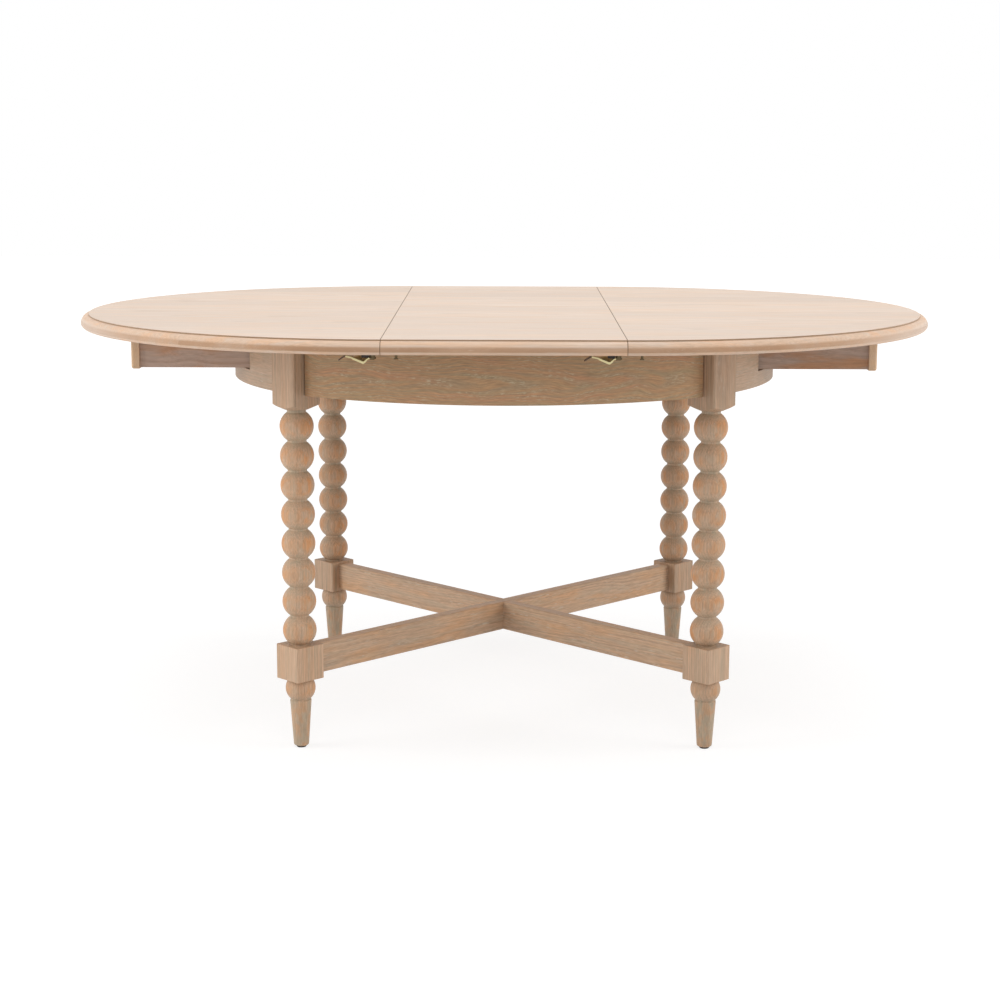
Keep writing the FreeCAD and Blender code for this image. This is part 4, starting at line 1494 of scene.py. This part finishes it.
    def build(self) -> None:
        """Build every fastener of the table."""
        screws, bolts, washers, nuts = (bmesh.new() for _ in range(4))
        radius, thick = self.washer
        washer_edge = (([radius - self.washer_chamfer] * 32, 0.0),
                       ([radius] * 32, self.washer_chamfer))
        nut_edge = [(self.hex_radii(cap), level) for cap, level in self.nut_chamfer]
        washer_face = self.corner_face - thick
        starts = (self.bolt_ends[0], washer_face, washer_face - self.nut[1])
        for quarter in range(4):
            turn = Matrix.Rotation(math.radians(45 + 90 * quarter), 4, "Z")
            for side in WAYS:
                head = turn @ Vector((self.corner_face, side * self.corner_aside, self.bolt_level))
                angle = math.radians(side * self.corner_angle)
                way = turn @ Vector((math.cos(angle), math.sin(angle), 0.0))
                self.screw(screws, self.laid(head, way), self.corner_screw)
            out = turn @ Vector((1.0, 0.0, 0.0))
            bolt, washer, nut = (self.laid(turn @ Vector((start, 0, self.bolt_level)), out)
                                 for start in starts)
            self.bolt(bolts, bolt)
            self.pipe(washers, washer, washer_edge, thick, self.bolt_radius + 0.2)
            self.pipe(nuts, nut, nut_edge, self.nut[1], self.bolt_radius + 0.02)
        self.finished("screws_corner_blocks", screws, "frame", "corner_block_screws")
        self.finished("bolts_hanger", bolts, "frame", "hanger_bolts")
        self.finished("washers_hanger", washers, "frame", "hanger_washers")
        self.finished("nuts_hanger", nuts, "frame", "hanger_nuts")
        self.upright_screws()

    def upright_screws(self) -> None:
        """Build the screws that are driven upwards: in the runners, bearers and locks."""
        asides = (-self.runner_aside, self.runner_aside)
        for name, side in zip(SIDES, WAYS):
            heads = [(side * x, y, self.runner_head) for x in self.runner_rows for y in asides]
            self.driven_up(f"screws_runner_{name}", f"half_{name}", f"runner_screws_{name}",
                           self.runner_screw, heads)
        x, y, level = self.bearer_place
        heads = [(x, y, level), (-x, y, level), (-x, -y, level), (x, -y, level)]
        self.driven_up("screws_bearers", "frame", "bearer_screws", self.bearer_screw, heads)
        for body, places in self.lock_places:
            name = body.removeprefix("half_")
            heads = [(x, y, self.lock_head) for x in places
                     for y in (-self.lock_line, self.lock_line)]
            self.driven_up(f"screws_lock_{name}", body, f"lock_screws_{name}", self.lock_screw,
                           heads)

    def driven_up(self, name: str, body: str, node: str, size: ScrewSize,
                  heads: Sequence[Sequence[float]]) -> None:
        """Build one piece from screws that are driven upwards.

        Args:
            name: The piece's name.
            body: The body that it rides on.
            node: The node that it replaces.
            size: The screws' sizes.
            heads: Where their heads are.
        """
        build = bmesh.new()
        for head in heads:
            self.screw(build, self.laid(head), size)
        self.finished(name, build, body, node)


@dataclass(frozen=True)
class Softbox:
    """A square softbox that points at the table's own axis.

    Attributes:
        name: The lamp's name.
        place: Where it hangs, in metres.
        aim: How high over the floor it points, in metres.
        size: Length of its side, in metres.
        watts: Its power.
        mirrored: Whether the object mirrors it. The low ones are kept out of the top's sheen,
            so that the pale top doesn't clip when it is seen from the ends.
    """

    name: str
    place: tuple[float, float, float]
    aim: float
    size: float
    watts: float
    mirrored: bool = True


@dataclass
class Studio:
    """A white floor and world, soft overhead and front lights, and the photographer's camera."""

    floor_half: float = 14.0
    floor_pale: float = 0.9
    floor_shadow: float = 0.32
    floor_glow: float = 0.78
    floor_fade: Point = (1.6, 7.0)
    floor_roughness: float = 0.9
    sky: float = 0.46
    softboxes: tuple[Softbox, ...] = (
        Softbox("overhead", (0.0, 0.0, 3.3), 0.4, 3.0, 36.0),
        Softbox("front_high", (0.0, -3.1, 3.1), 0.4, 2.6, 20.0),
        Softbox("left_box", (-4.3, -1.0, 1.5), 0.5, 2.4, 83.0, mirrored=False),
        Softbox("right_box", (4.3, -0.8, 1.5), 0.5, 2.4, 75.0, mirrored=False))
    camera_aside: float = 0.00256
    camera_back: float = 3.90155
    camera_height: float = 1.09826
    camera_yaw: float = -0.0025
    camera_pitch: float = 0.1799
    camera_roll: float = 0.0027
    focal_pixels: float = 2026.7
    frame_pixels: float = 1000.0
    sensor: float = 36.0

    def build(self) -> None:
        """Make the floor, world, lights and camera."""
        self.floor()
        self.world()
        for box in self.softboxes:
            self.lamp(box)
        self.camera()
        bpy.context.scene.view_settings.view_transform = "Standard"
        log.info("studio built")

    @staticmethod
    def seen(wiring: Wiring) -> bpy.types.Node:
        """Give one for rays that carry a picture, and nothing for those that carry light."""
        ray = wiring.add(Step.RAY).outputs
        both = wiring.add(Step.MAXIMUM, ray["Is Camera Ray"], ray["Is Glossy Ray"])
        return wiring.add(Step.MAXIMUM, both, ray["Is Transmission Ray"])

    def floor(self) -> None:
        """Lay the floor, white to the camera with a faint shadow, and pale to everything else."""
        build = bmesh.new()
        bmesh.ops.create_grid(build, x_segments=1, y_segments=1, size=self.floor_half)
        mesh = bpy.data.meshes.new("studio_floor")
        build.to_mesh(mesh)
        build.free()
        floor = bpy.data.objects.new("studio_floor", mesh)
        bpy.context.scene.collection.objects.link(floor)
        material = new_material("painted_studio_floor")
        wiring = Wiring(material.node_tree)
        seen = self.seen(wiring)
        pale, held = ((level, level, level, 1.0) for level in (self.floor_pale, self.floor_shadow))
        colour = wiring.add(Step.MIX, seen, pale, held)
        reach = wiring.add(Step.LENGTH, wiring.add(Step.PLACE).outputs["Object"])
        faded = wiring.add(Step.RISE, reach, *self.floor_fade, self.floor_glow, 1.0)
        glow = wiring.add(Step.MULTIPLY, seen, faded)
        wiring.surface(Base_Color=colour, Roughness=self.floor_roughness, Specular_IOR_Level=0.0,
                       Emission_Color=WHITE, Emission_Strength=glow)
        paint(floor, material)

    def world(self) -> None:
        """Light everything softly, with white behind the object."""
        world = bpy.data.worlds.new("studio_world")
        bpy.context.scene.world = world
        world.use_nodes = True
        wiring = Wiring(world.node_tree)
        strength = wiring.add(Step.MULTIPLY_ADD, self.seen(wiring), 1.0 - self.sky, self.sky)
        sky = wiring.add(Step.BACKGROUND, Color=WHITE, Strength=strength)
        wiring.add(Step.WORLD_OUTPUT, Surface=sky)

    @staticmethod
    def lamp(box: Softbox) -> None:
        """Hang one softbox."""
        data = bpy.data.lights.new(box.name, "AREA")
        data.shape = "SQUARE"
        data.size = box.size
        data.energy = box.watts
        lamp = bpy.data.objects.new(box.name, data)
        bpy.context.scene.collection.objects.link(lamp)
        lamp.location = box.place
        way = Vector((0.0, 0.0, box.aim)) - Vector(box.place)
        lamp.rotation_euler = way.to_track_quat("-Z", "Y").to_euler()
        lamp.visible_glossy = box.mirrored

    def camera(self) -> None:
        """Stand the camera where the photograph was taken from."""
        data = bpy.data.cameras.new("photo_camera")
        data.sensor_width = self.sensor
        data.lens = self.focal_pixels / self.frame_pixels * self.sensor
        camera = bpy.data.objects.new("photo_camera", data)
        bpy.context.scene.collection.objects.link(camera)
        camera.location = (self.camera_aside, -self.camera_back, self.camera_height)
        way = Vector((math.sin(self.camera_yaw) * math.cos(self.camera_pitch),
                      math.cos(self.camera_yaw) * math.cos(self.camera_pitch),
                      -math.sin(self.camera_pitch)))
        roll = Quaternion((0.0, 0.0, 1.0), self.camera_roll)
        camera.rotation_euler = (way.to_track_quat("-Z", "Y") @ roll).to_euler()
        bpy.context.scene.camera = camera


def main() -> None:
    """Load the frame, dress every piece, and set up the studio."""
    logging.basicConfig(level=logging.INFO, format="%(name)s: %(message)s")
    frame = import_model()
    nodes = frame["nodes"]
    TopBoards().build()
    for assembly in (TurnedLegs(), CurvedAprons(), CrossRails(), Slides()):
        assembly.dress(nodes)
    SwivelLocks().build(nodes)
    Fasteners().build()
    Studio().build()


if __name__ == "__main__":
    main()
